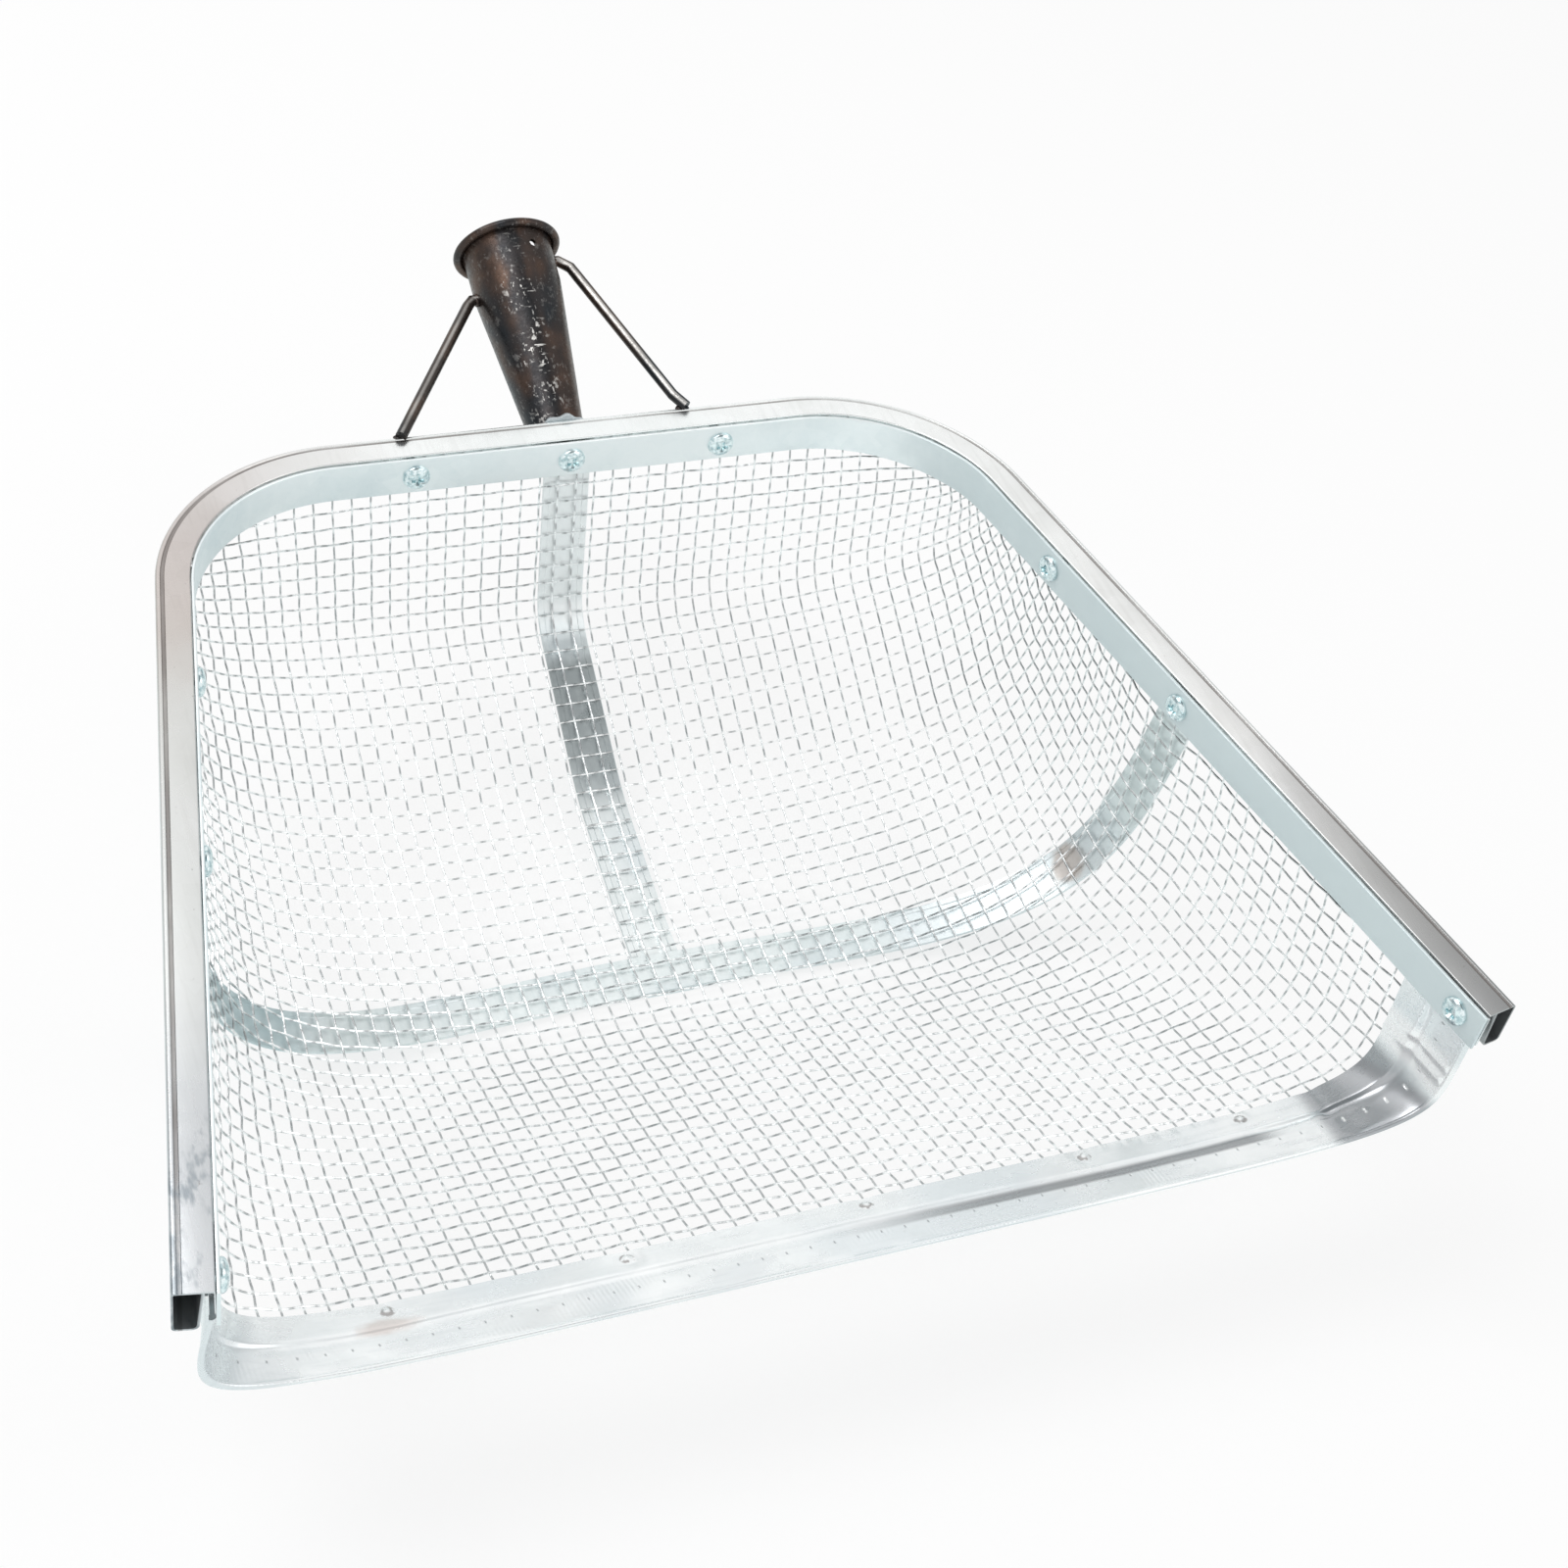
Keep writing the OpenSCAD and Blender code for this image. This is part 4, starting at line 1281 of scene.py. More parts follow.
@dataclass
class Rim:
    """U-shaped rim of boxed sheet with a web that covers the clamp.

    Attributes:
        height: height of the box.
        box: width of the box at its top.
        sheet: thickness of the sheet.
        web: how far the top reaches past the box.
        lean: how much narrower the box is at its bottom.
        groove_at: distance of the groove from the outer face.
        groove_w: width of the groove.
        groove_d: depth of the groove.
        bend: radius of the upper outer edge.
    """

    height: float = 19.5
    box: float = 9.7
    sheet: float = 0.8
    web: float = 3.25
    lean: float = 1.5
    groove_at: float = 2.1
    groove_w: float = 1.1
    groove_d: float = 0.45
    bend: float = 1.3

    def outline(self) -> np.ndarray:
        """Outer outline of the rim's section, from the outer face inwards.

        Returns:
            The outline's points.
        """
        reach, low = self.box + self.web, -self.height
        start, end, deep = self.groove_at, self.groove_at + self.groove_w, -self.groove_d
        return rounded_loop([
            (0.0, 0.0, self.bend), (start - 0.3, 0.0, 0.15), (start, deep, 0.1), (end, deep, 0.1),
            (end + 0.3, 0.0, 0.15), (reach, 0.0, 0.45), (reach, -self.sheet, 0.3),
            (self.box, -self.sheet, 0.25), (self.box - self.lean, low, 2.4), (0.0, low, 1.6)])

    def cell(self) -> np.ndarray:
        """Outline of the hollow inside the box.

        Returns:
            The outline's points.
        """
        t = self.sheet
        return rounded_loop([(t, -t, 0.5), (self.box - t, -t, 0.2),
                             (self.box - t - self.lean, t - self.height, 1.7), (t, t - self.height, 0.9)])

    def build(self, material: Material) -> None:
        """Sweep the section along the plan and close its ends.

        Args:
            material: finish of the rim.
        """
        places = RIM.stations(12.0, 36)
        loops = (self.outline(), self.cell())
        skins = [tube(np.array([[s.at(u, z) for u, z in loop] for s in places]), caps=False)
                 for loop in loops]
        points, faces = join(skins)
        outside = len(skins[0][0])
        for end in (0, len(places) - 1):
            faces.extend(self.end_faces(*loops, end * len(loops[0]), outside + end * len(loops[1])))
        spots = [(s.along, u, z) for loop in loops for s in places for u, z in loop]
        piece = new_piece("rim_channel_sheet", points, faces, 28.0, np.array(spots))
        # The inner skin is flagged so that its finish paints shade inside the box.
        keep(piece.data, "inside", [float(k >= outside) for k in range(len(piece.data.vertices))])
        place(piece, Slot.RIM, material, "rim_channel")

    @staticmethod
    def end_faces(outer: np.ndarray, inner: np.ndarray, outer_at: int, inner_at: int) -> Faces:
        """Triangles between the two outlines at an end of the rim.

        Args:
            outer: outer outline.
            inner: inner outline.
            outer_at: number of the outer outline's first point at that end.
            inner_at: number of the inner one's.

        Returns:
            The triangles.
        """
        loops = [[Vector((u, z, 0.0)) for u, z in loop] for loop in (outer, inner)]
        count = len(outer)
        return [tuple(outer_at + k if k < count else inner_at + k - count for k in face)
                for face in tessellate_polygon(loops)]


@dataclass
class ClampStrip:
    """Zinc strip that presses the mesh and straps against the rim.

    Attributes:
        sheet: thickness of the strip.
        height: height of the strip.
        drop: depth of its top under the web.
        bow: how far it bows in where it was fitted too long.
        bow_at: distance of the bow along the rim.
        bow_by: half length of the bow.
        wave: height of its small waves.
    """

    sheet: float = 1.3
    height: float = 16.9
    drop: float = 1.0
    bow: float = 0.9
    bow_at: float = 331.0
    bow_by: float = 11.0
    wave: float = 0.16

    def build(self, material: Material) -> None:
        """Sweep the strip's section, with the small waves of a hand-fitted strip.

        Args:
            material: finish of the strip.
        """
        loop = rounded_loop([(0.0, 0.0, 0.35), (self.sheet, 0.0, 0.5), (self.sheet, -self.height, 0.5),
                             (0.0, -self.height, 0.35)], 3)
        rings = []
        for s in RIM.stations(7.0, 40):
            wave = self.wave * wobble((s.along, 0.0, 0.0), 60.0, 3.1)
            bump = self.bow * math.exp(-((s.along - self.bow_at) / self.bow_by) ** 2)
            off = (wave + self.wave) * 0.5 + bump * 0.5
            rings.append([s.at(STRIP_IN + max(u, 0.0) + off, z - self.drop + bump * 0.8) for u, z in loop])
        points, faces = tube(np.array(rings))
        place(new_piece("clamp_strip_band", points, faces, 28.0), Slot.STRIP, material, "clamp_strip")


@dataclass
class WovenPan:
    """Crimped square weave pressed to the pan's shape.

    Attributes:
        pitch: distance between wires.
        wire_r: radius of a wire.
        crimp: how far a wire swings to either side.
        front: distance of the first cross wire from the mouth.
        clamp_top: depth at which the wires end in the clamp.
        parts: number of points in a pitch.
        sides: number of sides of a wire.
        least: smallest number of points in a wire that is kept.
    """

    pitch: float = 8.0
    wire_r: float = 0.43
    crimp: float = 0.30
    front: float = 24.0
    clamp_top: float = 6.0
    parts: int = 3
    sides: int = 5
    least: int = 4

    @property
    def step(self) -> float:
        """Distance between a wire's points."""
        return self.pitch / self.parts

    def wire(self, start: np.ndarray | None, middle: np.ndarray, end: np.ndarray, inward: np.ndarray,
             wave: np.ndarray) -> tuple[np.ndarray, ...]:
        """Add plain ends that rise into the clamp to a wire's crimped middle.

        Args:
            start: point at which the wire comes out of the clamp, or None where it starts in the lip.
            middle: points of the crimped middle.
            end: point at which it goes into the clamp.
            inward: unit vectors into the pan at the middle's points.
            wave: height of the crimp there, from -1 to 1.

        Returns:
            Its points, its crimp and its crests.
        """
        before = [] if start is None else [np.array([start[0], start[1], -self.clamp_top]), start]
        after = [end, np.array([end[0], end[1], -self.clamp_top])]
        ends = (len(before), len(after))
        return (np.vstack([*before, middle, *after]), np.pad(inward * wave[:, None], (ends, (0, 0))),
                np.pad(wave, ends))

    def row(self, index: int, s: float) -> tuple[np.ndarray, ...]:
        """One wire that runs across the pan.

        Args:
            index: number of the row from the mouth.
            s: its distance along the floor.

        Returns:
            Its points, its crimp and its crests.
        """
        count = int((PAN.half_length(s) - 0.8) / self.step - 0.5)
        wide = np.arange(-count, count + 1) * self.step
        wave = np.cos(math.pi * (wide / self.pitch - 0.5 + index))
        left, right = PAN.points(s, np.array([-1.0, 1.0]))
        return self.wire(left, PAN.at(s, wide), right, PAN.inward(s, wide), wave)

    def column(self, index: int, stations: np.ndarray) -> tuple[np.ndarray, ...] | None:
        """One wire that runs from front to back, or None if it is too short.

        Args:
            index: number of the column, 0 to the right of the middle and -1 to its left.
            stations: distances along the floor.

        Returns:
            Its points, its crimp and its crests.
        """
        wide = np.array([(index + 0.5) * self.pitch])
        far, edge = abs(wide[0]), np.sign(wide)
        inside = [s for s in stations if far < PAN.half_length(s) - 0.9]
        if len(inside) < self.least:
            return None
        wave = np.array([-math.cos(math.pi * ((s - self.front) / self.pitch + index)) for s in inside])
        middle, inward = (np.array([give(s, wide)[0] for s in inside]) for give in (PAN.at, PAN.inward))
        last = [s for s in np.arange(inside[-1], PAN.length, 0.25) if far < PAN.half_length(s)][-1]
        end = PAN.at(last, wide)[0] if last > PAN.length - 0.5 else PAN.points(last, edge)[0]
        start = PAN.points(inside[0] - 1.0, edge)[0] if inside[0] > stations[0] + 0.1 else None
        return self.wire(start, middle, end, inward, wave)

    def build(self, cross: Material, long: Material) -> None:
        """Weave the rows and the columns.

        Args:
            cross: finish of the wires that run across.
            long: finish of the wires that run from front to back.
        """
        stations = self.front + self.step * np.arange(int((PAN.length - self.front) / self.step) + 1)
        rows = [self.row(i, s) for i, s in enumerate(stations[::self.parts]) if s < PAN.length - 1.5]
        reach = int(max(PAN.half_length(s) for s in stations) / self.pitch) + 1
        columns = [c for c in (self.column(i, stations) for i in range(-reach, reach)) if c is not None]
        for name, wires, material in (("mesh_cross_wires", rows, cross), ("mesh_long_wires", columns, long)):
            lines, lifts, crests = zip(*wires)
            piece = wires_along(name, lines, self.wire_r, self.sides, material, self.crimp, lifts, crests)
            place(piece, Slot.WIRE, material, "mesh_basket")


@dataclass
class Straps:
    """Two flat straps under the mesh, clamped with it at the rim.

    Attributes:
        width: width of a strap.
        sheet: thickness of a strap.
        hem: width of the pressed hems.
        fold: depth of the face between the hems.
        soft: reach of a hem's rounded edges.
        off: distance of the inner face outside the mesh's middle.
        centre_front: distance along the floor at which the centre strap starts.
        joint: distances along the floor between which the centre strap steps under the cross strap.
        step: height of that step.
        cross_mid: distance along the floor of the cross strap's middle.
        cross_end: the same for its right end.
        askew: how much nearer to the mouth its left end is.
        steps: number of steps in half the cross strap.
    """

    width: float = 20.0
    sheet: float = 1.1
    hem: float = 2.6
    fold: float = 0.35
    soft: float = 0.35
    off: float = 1.12
    centre_front: float = 202.0
    joint: tuple[float, float] = (224.0, 236.0)
    step: float = 1.25
    cross_mid: float = 212.0
    cross_end: float = 178.0
    askew: float = 12.0
    steps: int = 60

    def ring(self, point: Callable[[float, float], np.ndarray], off: float) -> np.ndarray:
        """One section of a strap.

        Args:
            point: gives the point at a distance from the strap's middle and outside the mesh.
            off: distance of the strap's inner face outside the mesh.

        Returns:
            The ring of points.
        """
        half = self.width / 2
        edge, hem = half - self.soft, half - self.hem
        low = [point(w, off + self.sheet) for w in (-edge, -half * 0.5, 0.0, half * 0.5, edge)]
        face = [(edge, 0.0), (hem, 0.0), (hem - self.soft, self.fold), (0.0, self.fold),
                (self.soft - hem, self.fold), (-hem, 0.0), (-edge, 0.0)]
        high = [point(w, off + deep) for w, deep in face]
        right, left = (point(w, off + self.sheet / 2) for w in (half, -half))
        return np.array([*low, right, *high, left])

    @staticmethod
    def clamped(ring: np.ndarray) -> np.ndarray:
        """The ring at a strap's end, straight above its last one."""
        return np.column_stack([ring[:, :2], np.full(len(ring), -STRAP_TOP)])

    def centre(self) -> Solid:
        """Strap from the belly up the back wall.

        Returns:
            Its points and faces.
        """
        rings = []
        for s in [*np.arange(self.centre_front, PAN.length - 1.0, 5.0), PAN.length]:
            down = float(np.interp(s, self.joint, [self.step, 0.0]))
            length = PAN.half_length(s)
            rings.append(self.ring(
                lambda w, off, s=s, length=length: PAN.points(s, np.array([w / length]), off)[0],
                self.off + down))
        return tube(np.array([*rings, self.clamped(rings[-1])]))

    def cross(self) -> Solid:
        """Strap across the belly and up both side walls.

        Returns:
            Its points and faces.
        """
        rings = []
        for k in range(-self.steps, self.steps + 1):
            q = math.copysign(abs(k / self.steps) ** 0.9, k)
            end = self.cross_end - (self.askew if q < 0 else 0.0)
            middle = self.cross_mid + (end - self.cross_mid) * q * q
            rings.append(self.ring(
                lambda w, off, q=q, middle=middle: PAN.points(middle - w, np.array([q]), off)[0],
                self.off))
        return tube(np.array([self.clamped(rings[0]), *rings, self.clamped(rings[-1])]))

    def build(self, centre: Material, cross: Material) -> None:
        """Make both straps."""
        place(new_piece("centre_strap_band", *self.centre(), 30.0), Slot.STRAP, centre, "centre_strap")
        place(new_piece("cross_strap_band", *self.cross(), 30.0), Slot.STRAP, cross, "cross_strap")


@dataclass
class FrontLip:
    """Sheet folded round the mesh's front edge, clinched and stepped.

    Attributes:
        width: width of the folded lip.
        sheet: thickness of the sheet.
        step: distance of the step from the hem.
        run: length of the step's slope.
        leaf: distance of the leaves behind the step from the mesh's middle.
        hem: radius of the hem.
        stations: number of steps in half the lip.
        clinch_shares: places of the clinches, as shares of half the lip.
        clinch_at: distance of the clinches from the hem.
        folds: place, height and half width of each fold, the first and the last as shares.
        crimped: shares of half the lip between which the back edge is crimped.
        tab_w: width of a tab's bevelled upper edge.
    """

    width: float = 34.0
    sheet: float = 0.8
    step: float = 19.5
    run: float = 2.4
    leaf: float = 1.07
    hem: float = 1.25
    stations: int = 215
    clinch_shares: tuple[float, ...] = (-0.62, -0.30, 0.04, 0.37, 0.62)
    clinch_at: float = 29.6
    folds: tuple[tuple[float, float, float], ...] = (
        (0.905, 0.8, 0.007), (0.930, 0.7, 0.006), (0.735, -0.7, 0.014), (0.80, 0.5, 0.05),
        (-0.93, 0.4, 0.012))
    crimped: tuple[float, float] = (0.34, 0.60)
    tab_w: float = 0.4

    def marks(self) -> tuple[tuple[float, float], ...]:
        """Places of the clinches, sideways and back from the hem."""
        return tuple((share * PAN.half_length(self.step), self.clinch_at) for share in self.clinch_shares)

    def profile(self) -> list[tuple[float, float, float]]:
        """Closed section of the fold.

        Returns:
            Distance back, distance outside the mesh, and 1 on the inner face, for each point.
        """
        inner, outer, fold = -self.leaf, -self.leaf - self.sheet, -self.sheet
        behind = self.step + self.run
        top = [(self.width, inner, 0.0), (self.width, outer, 1.0)]
        top += [(s, outer, 1.0) for s in np.linspace(self.width - 0.6, behind, 13)]
        for k in range(1, 5):
            share = (1 - math.cos(math.pi * k / 5)) / 2
            top.append((self.step + self.run * (1 - k / 5), outer + (fold - outer) * share, 1.0))
        top += [(s, fold, 1.0) for s in np.linspace(self.step, self.hem * 2 + 0.7, 14)]
        hem = [(self.hem - self.hem * math.sin(math.radians(a)), -self.hem * math.cos(math.radians(a)), 0.5)
               for a in range(-50, 231, 20)]
        low = [(s, -off, 0.0) for s, off, _ in reversed(top[1:])]
        back = [(self.width, -inner, 0.0), (behind + 1.0, -inner, 0.0), (behind, 0.0, 0.0),
                (behind + 1.0, inner, 0.0)]
        return top + hem + low + back

    def relief(self, s: float, wide: float, length: float) -> float:
        """Height of the hand-formed marks on the inner face.

        Args:
            s: distance from the hem.
            wide: developed distance sideways.
            length: developed length of half the lip.

        Returns:
            How far the sheet stands into the pan, in millimetres.
        """
        height = 0.16 * wobble((s * 1.5, wide, 0.0), 16.0, 1.7)
        height += 0.10 * wobble((s * 3.0, wide, 4.0), 42.0, 7.3)
        share = wide / length
        for mark in self.clinch_shares:
            far = math.hypot(wide - mark * length, (s - self.clinch_at) * 0.8)
            height += 1.5 * math.exp(-(far / 1.5) ** 2) - 0.9 * math.exp(-(far / 3.6) ** 2)
        for fold, deep, wide_by in self.folds:
            height += deep * math.exp(-((share - fold) / wide_by) ** 2) * min(1.0, s / 5)
        if self.crimped[0] < share < self.crimped[1]:
            edge = math.exp(-((s - self.width + 1.5) / 2.5) ** 2)
            height += 0.35 * edge * max(0.0, math.sin(wide * math.pi / 4)) ** 2
        score = math.exp(-((s - self.step + 1.6) / 1.3) ** 2)
        return height - 0.55 * score * min(1.0, max(0.25, (share + 0.35) * 1.8))

    def sway(self, s: float, wide: float) -> float:
        """How far the hand-bent step wanders along the lip at a place."""
        near = max(0.0, 1 - ((s - self.step - 1.0) / 11.0) ** 2)
        return 2.2 * near * wobble((wide, 0.0, 0.0), 120.0, 6.1)

    def build(self, material: Material) -> None:
        """Make the folded sheet and its tabs in the clamp.

        Args:
            material: finish of the lip.
        """
        shares = np.array([math.copysign(abs(k / self.stations) ** 0.92, k)
                           for k in range(-self.stations, self.stations + 1)])
        lines, spots = [], []
        length = PAN.half_length(self.step)
        for s, off, face in self.profile():
            line = PAN.points(s, shares, off)
            if face >= 1.0:
                line = np.array([PAN.points(s + self.sway(s, q * length), np.array([q]), off)[0]
                                 for q in shares])
                normal = PAN.inward(max(s, 2.0), shares * PAN.half_length(max(s, 2.0)))
                marks = [self.relief(s, q * length, length) if abs(q) < 0.985 else 0.0 for q in shares]
                line = line + normal * np.array(marks)[:, None]
            lines.append(line)
            spots.append([(q * length, s, face) for q in shares])
        points, faces = join([tube(np.transpose(lines, (1, 0, 2))), self.tab(1), self.tab(-1)])
        sheet_place = np.zeros((len(points), 3))
        flat = np.transpose(spots, (1, 0, 2)).reshape(-1, 3)
        sheet_place[:len(flat)] = flat
        piece = new_piece("front_lip_fold", points, faces, 32.0, sheet_place)
        place(piece, Slot.LIP, material, "front_lip")

    def tab(self, side: int) -> Solid:
        """Tab that rises into the clamp.

        Args:
            side: 1 for the right tab, -1 for the left one.

        Returns:
            Its points and faces.
        """
        near, far = STRAP_IN + 0.1, STRAP_IN + 1.1
        rings = []
        for z, inset in ((-PAN_TOP - 0.4, 0.0), (-STRAP_TOP - 0.5, 0.0), (-STRAP_TOP, self.tab_w)):
            front, back = 0.9 + inset, self.width - 0.1 - inset
            rings.append([RIM.leg_place(y, side).at(inwards, z)
                          for y, inwards in ((front, near), (back, near), (back, far), (front, far))])
        return tube(np.array(rings))


@dataclass
class PoleSocket:
    """Rolled steel cone with a beaded mouth, held by two welded stays.

    Attributes:
        bore_r: radius of the bore.
        wall: thickness of the wall.
        throat: depth from which the cone narrows.
        foot_r: outer radius at the rim.
        mouth_y: distance of the socket's mouth from the rim's mouth.
        mouth_z: height of the socket's mouth over the rim's top.
        foot_drop: depth at which the axis meets the rim's back face.
        bead_r: radius of the rolled bead at the mouth.
        flange_r: radius at which that bead runs.
        past: how far the cone is drawn past the rim's face before it is trimmed.
        turns: number of steps round the cone.
        nail_r: radius of the nail hole.
        nail_down: distance of the nail hole below the mouth.
        nail_turn: turn of the nail hole round the axis in degrees.
        stay_r: radius of a stay.
        stay_sides: number of sides of a stay.
        feet: sideways place of each stay's foot, and how far below the mouth it ends.
        kinks: how far each stay bows out at its top.
    """

    bore_r: float = 17.5
    wall: float = 1.5
    throat: float = 22.0
    foot_r: float = 11.0
    mouth_y: float = 471.5
    mouth_z: float = 23.0
    foot_drop: float = 14.0
    bead_r: float = 1.8
    flange_r: float = 21.6
    past: float = 14.0
    turns: int = 96
    nail_r: float = 1.6
    nail_down: float = 10.0
    nail_turn: float = 20.0
    stay_r: float = 2.4
    stay_sides: int = 28
    feet: tuple[tuple[float, float], ...] = ((-69.0, 25.0), (52.0, 9.0))
    kinks: tuple[float, float] = (0.8, 3.4)

    @property
    def tilt(self) -> float:
        """Angle by which the socket rises toward its mouth."""
        return math.atan((self.mouth_z + self.foot_drop) / (self.mouth_y - RIM.length))

    @property
    def length(self) -> float:
        """Length of the socket's axis from its mouth to the rim."""
        return math.hypot(self.mouth_y - RIM.length, self.mouth_z + self.foot_drop)

    @cached_property
    def in_rim(self) -> Matrix:
        """Transform from the socket's own space, with +Z out of its mouth, to rim space."""
        turn = Matrix.Rotation(self.tilt - math.pi / 2, 4, "X")
        return Matrix.Translation((0.0, self.mouth_y, self.mouth_z)) @ turn

    def cone_r(self, down: float) -> float:
        """Outer radius at a distance below the mouth."""
        slope = (self.bore_r + self.wall - self.foot_r) / (self.length - self.throat)
        return self.bore_r + self.wall - max(0.0, down - self.throat) * slope

    def section(self) -> list[tuple[float, float]]:
        """Section of the socket's wall, up the bore, over the bead and down the outside.

        Returns:
            Radius and height of each point.
        """
        outer, steps = self.bore_r + self.wall, np.linspace(self.throat, self.length + self.past, 9)
        bore = [(self.cone_r(d) - self.wall, -d) for d in reversed(steps)]
        mouth = [(self.bore_r, -self.throat * 0.5), (self.bore_r, -2.6), (self.bore_r + 0.3, -1.3),
                 (self.bore_r + 1.2, -0.5), (self.flange_r - 1.2, -0.05)]
        rolled = [(self.flange_r + self.bead_r * math.cos(a), self.bead_r * (math.sin(a) - 1))
                  for a in (math.radians(k) for k in range(100, -200, -20))]
        neck = [(outer + 0.5, -3.2), (outer, -4.6), (outer, -self.throat * 0.6)]
        return [*bore, *mouth, *rolled, *neck, *((self.cone_r(d), -d) for d in steps)]

    def cone(self) -> Object:
        """Lathe the cone, trim it at the rim and pierce the nail hole.

        Returns:
            The cone.
        """
        rings = []
        for k in range(self.turns):
            a = 2 * math.pi * k / self.turns
            ring = []
            for r, z in self.section():
                dent = 0.10 * wobble((r * math.cos(a), r * math.sin(a), z), 16.0, 5.2) if z < -8 else 0.0
                spot = Vector(((r + dent) * math.cos(a), (r + dent) * math.sin(a), z))
                ring.append(tuple(self.in_rim @ spot))
            rings.append(ring)
        points, faces = tube(np.array([*rings, rings[0]]), caps=False)
        piece = new_piece("pole_socket_cone", points, faces, 40.0)
        work = bmesh.new()
        work.from_mesh(piece.data)
        back = Vector(to_frame(np.array([0.0, RIM.length + 0.02, 0.0])).tolist())
        cut = bmesh.ops.bisect_plane(work, geom=[*work.verts, *work.edges, *work.faces], plane_co=back,
                                     plane_no=(0.0, -1.0, 0.0), clear_outer=True)
        bmesh.ops.bridge_loops(work, edges=[e for e in cut["geom_cut"] if isinstance(e, bmesh.types.BMEdge)])
        clean_faces(work)
        work.to_mesh(piece.data)
        work.free()
        cut_away(piece, self.nail_drill())
        shade(piece.data, 40.0)
        return piece

    def nail_drill(self) -> Object:
        """Rod with the shape of the nail hole.

        Returns:
            The rod.
        """
        matrix = self.in_rim @ Matrix.Rotation(math.radians(self.nail_turn), 4, "Z")
        rings = [[tuple(matrix @ Vector((self.nail_r * math.cos(a), -reach,
                                         -self.nail_down + self.nail_r * math.sin(a))))
                  for a in np.linspace(0, 2 * math.pi, 24, endpoint=False)]
                 for reach in (8.0, self.bore_r + 6.0)]
        return new_piece("nail_drill", *tube(np.array(rings)))

    def side_point(self, down: float, reach: float) -> np.ndarray:
        """Point beside the socket at a distance below its mouth."""
        return np.array([reach, self.mouth_y - down * math.cos(self.tilt),
                         self.mouth_z - down * math.sin(self.tilt)])

    def stay_line(self, x: float, down: float) -> np.ndarray:
        """Middle line of a stay, from its foot on the rim to its flattened top.

        Args:
            x: sideways place of its foot.
            down: distance of its top below the socket's mouth.

        Returns:
            The line's points.
        """
        side = math.copysign(1.0, x)
        foot = np.array([x, RIM.length - 0.9, self.stay_r * 0.55])
        top = self.side_point(down, side * (self.cone_r(down) + self.stay_r * 0.6))
        kink = self.kinks[0] if side < 0 else self.kinks[1]
        bend = top + (foot - top) * 0.06 + np.array([side * kink, 0.6, 0.4])
        knee = foot + (bend - foot) * 0.08
        toe = foot + np.array([2.0, 0.1, -0.3]) if side > 0 else foot - (knee - foot) * 0.1
        rod = [knee + (bend - knee) * t for t in (0.35, 0.7, 0.93)]
        ends = [top + np.array([side * 0.9, 0.0, 0.0]), top - np.array([side * 1.6, 0.0, 0.0])]
        return np.array([toe, knee, *rod, bend, *ends])

    @staticmethod
    def bead(middle: np.ndarray, size: Point, seed: float) -> Solid:
        """One lumpy run of weld metal.

        Args:
            middle: its middle in rim space.
            size: half sizes.
            seed: shifts its lumps.

        Returns:
            Its points and faces.
        """
        work = bmesh.new()
        bmesh.ops.create_icosphere(work, subdivisions=4, radius=1.0)
        points = []
        for vert in work.verts:
            lump = 1 + 0.16 * wobble(vert.co * 10, 5.0, seed) + 0.08 * wobble(vert.co * 10, 1.9, seed)
            points.append(middle + np.array([vert.co[i] * size[i] * lump for i in range(3)]))
        faces = [tuple(v.index for v in face.verts) for face in work.faces]
        work.free()
        return np.array(points), faces

    def foot_weld(self) -> Solid:
        """Weld run round the socket's foot, on the rim's back face.

        Returns:
            Its points and faces.
        """
        rings, turns, half = [], 72, 2.6
        for k in range(turns + 1):
            a = 2 * math.pi * (k % turns) / turns
            down = self.length
            for _ in range(8):
                radius = self.cone_r(down)
                spot = self.in_rim @ Vector((radius * math.cos(a), radius * math.sin(a), -down))
                down += (spot.y - RIM.length) / math.cos(self.tilt)
            out = self.in_rim.to_3x3() @ Vector((math.cos(a), math.sin(a), 0.0))
            out.y = 0.0
            out.normalize()
            size = half * (1 + 0.18 * math.sin(k * 2 * math.pi / 6) + 0.2 * wobble(spot, 6.0, 8.8))
            rings.append([tuple(spot + out * size * (0.35 + math.cos(t))
                                + Vector((0.0, size * max(math.sin(t), -0.1) + 0.05, 0.0)))
                          for t in np.linspace(-0.2, math.pi + 0.2, 9)])
        return tube(np.array(rings), caps=False)

    def build(self, steel: Material, painted_highlight: Material, zinc: Material) -> None:
        """Make the cone, the stays and the welds.

        Args:
            steel: finish of the cone and the stays' welds.
            painted_highlight: finish of the stays, with a painted highlight along their upward side.
            zinc: finish of the weld at the cone's foot.
        """
        place(self.cone(), Slot.STEEL, steel, "pole_socket")
        for name, (x, down) in zip(("left", "right"), self.feet):
            line = self.stay_line(x, down)
            rod = wires_along(f"{name}_stay_rod", [line], self.stay_r, self.stay_sides, painted_highlight)
            place(rod, Slot.STEEL, painted_highlight, f"{name}_stay")
            side = math.copysign(1.0, x)
            foot = self.bead(np.array([x + 0.4 * side, RIM.length - 0.1, -0.1]), (2.9, 1.6, 0.7), x)
            top = self.bead(self.side_point(down, side * (self.cone_r(down) + 0.3)), (1.3, 3.4, 2.4), down)
            place(new_piece(f"{name}_foot_weld_bead", *foot), Slot.WELD, steel, f"{name}_foot_weld")
            place(new_piece(f"{name}_top_weld_bead", *top), Slot.WELD, steel, f"{name}_top_weld")
        place(new_piece("socket_weld_run", *self.foot_weld(), 50.0), Slot.WELD, zinc, "socket_weld")


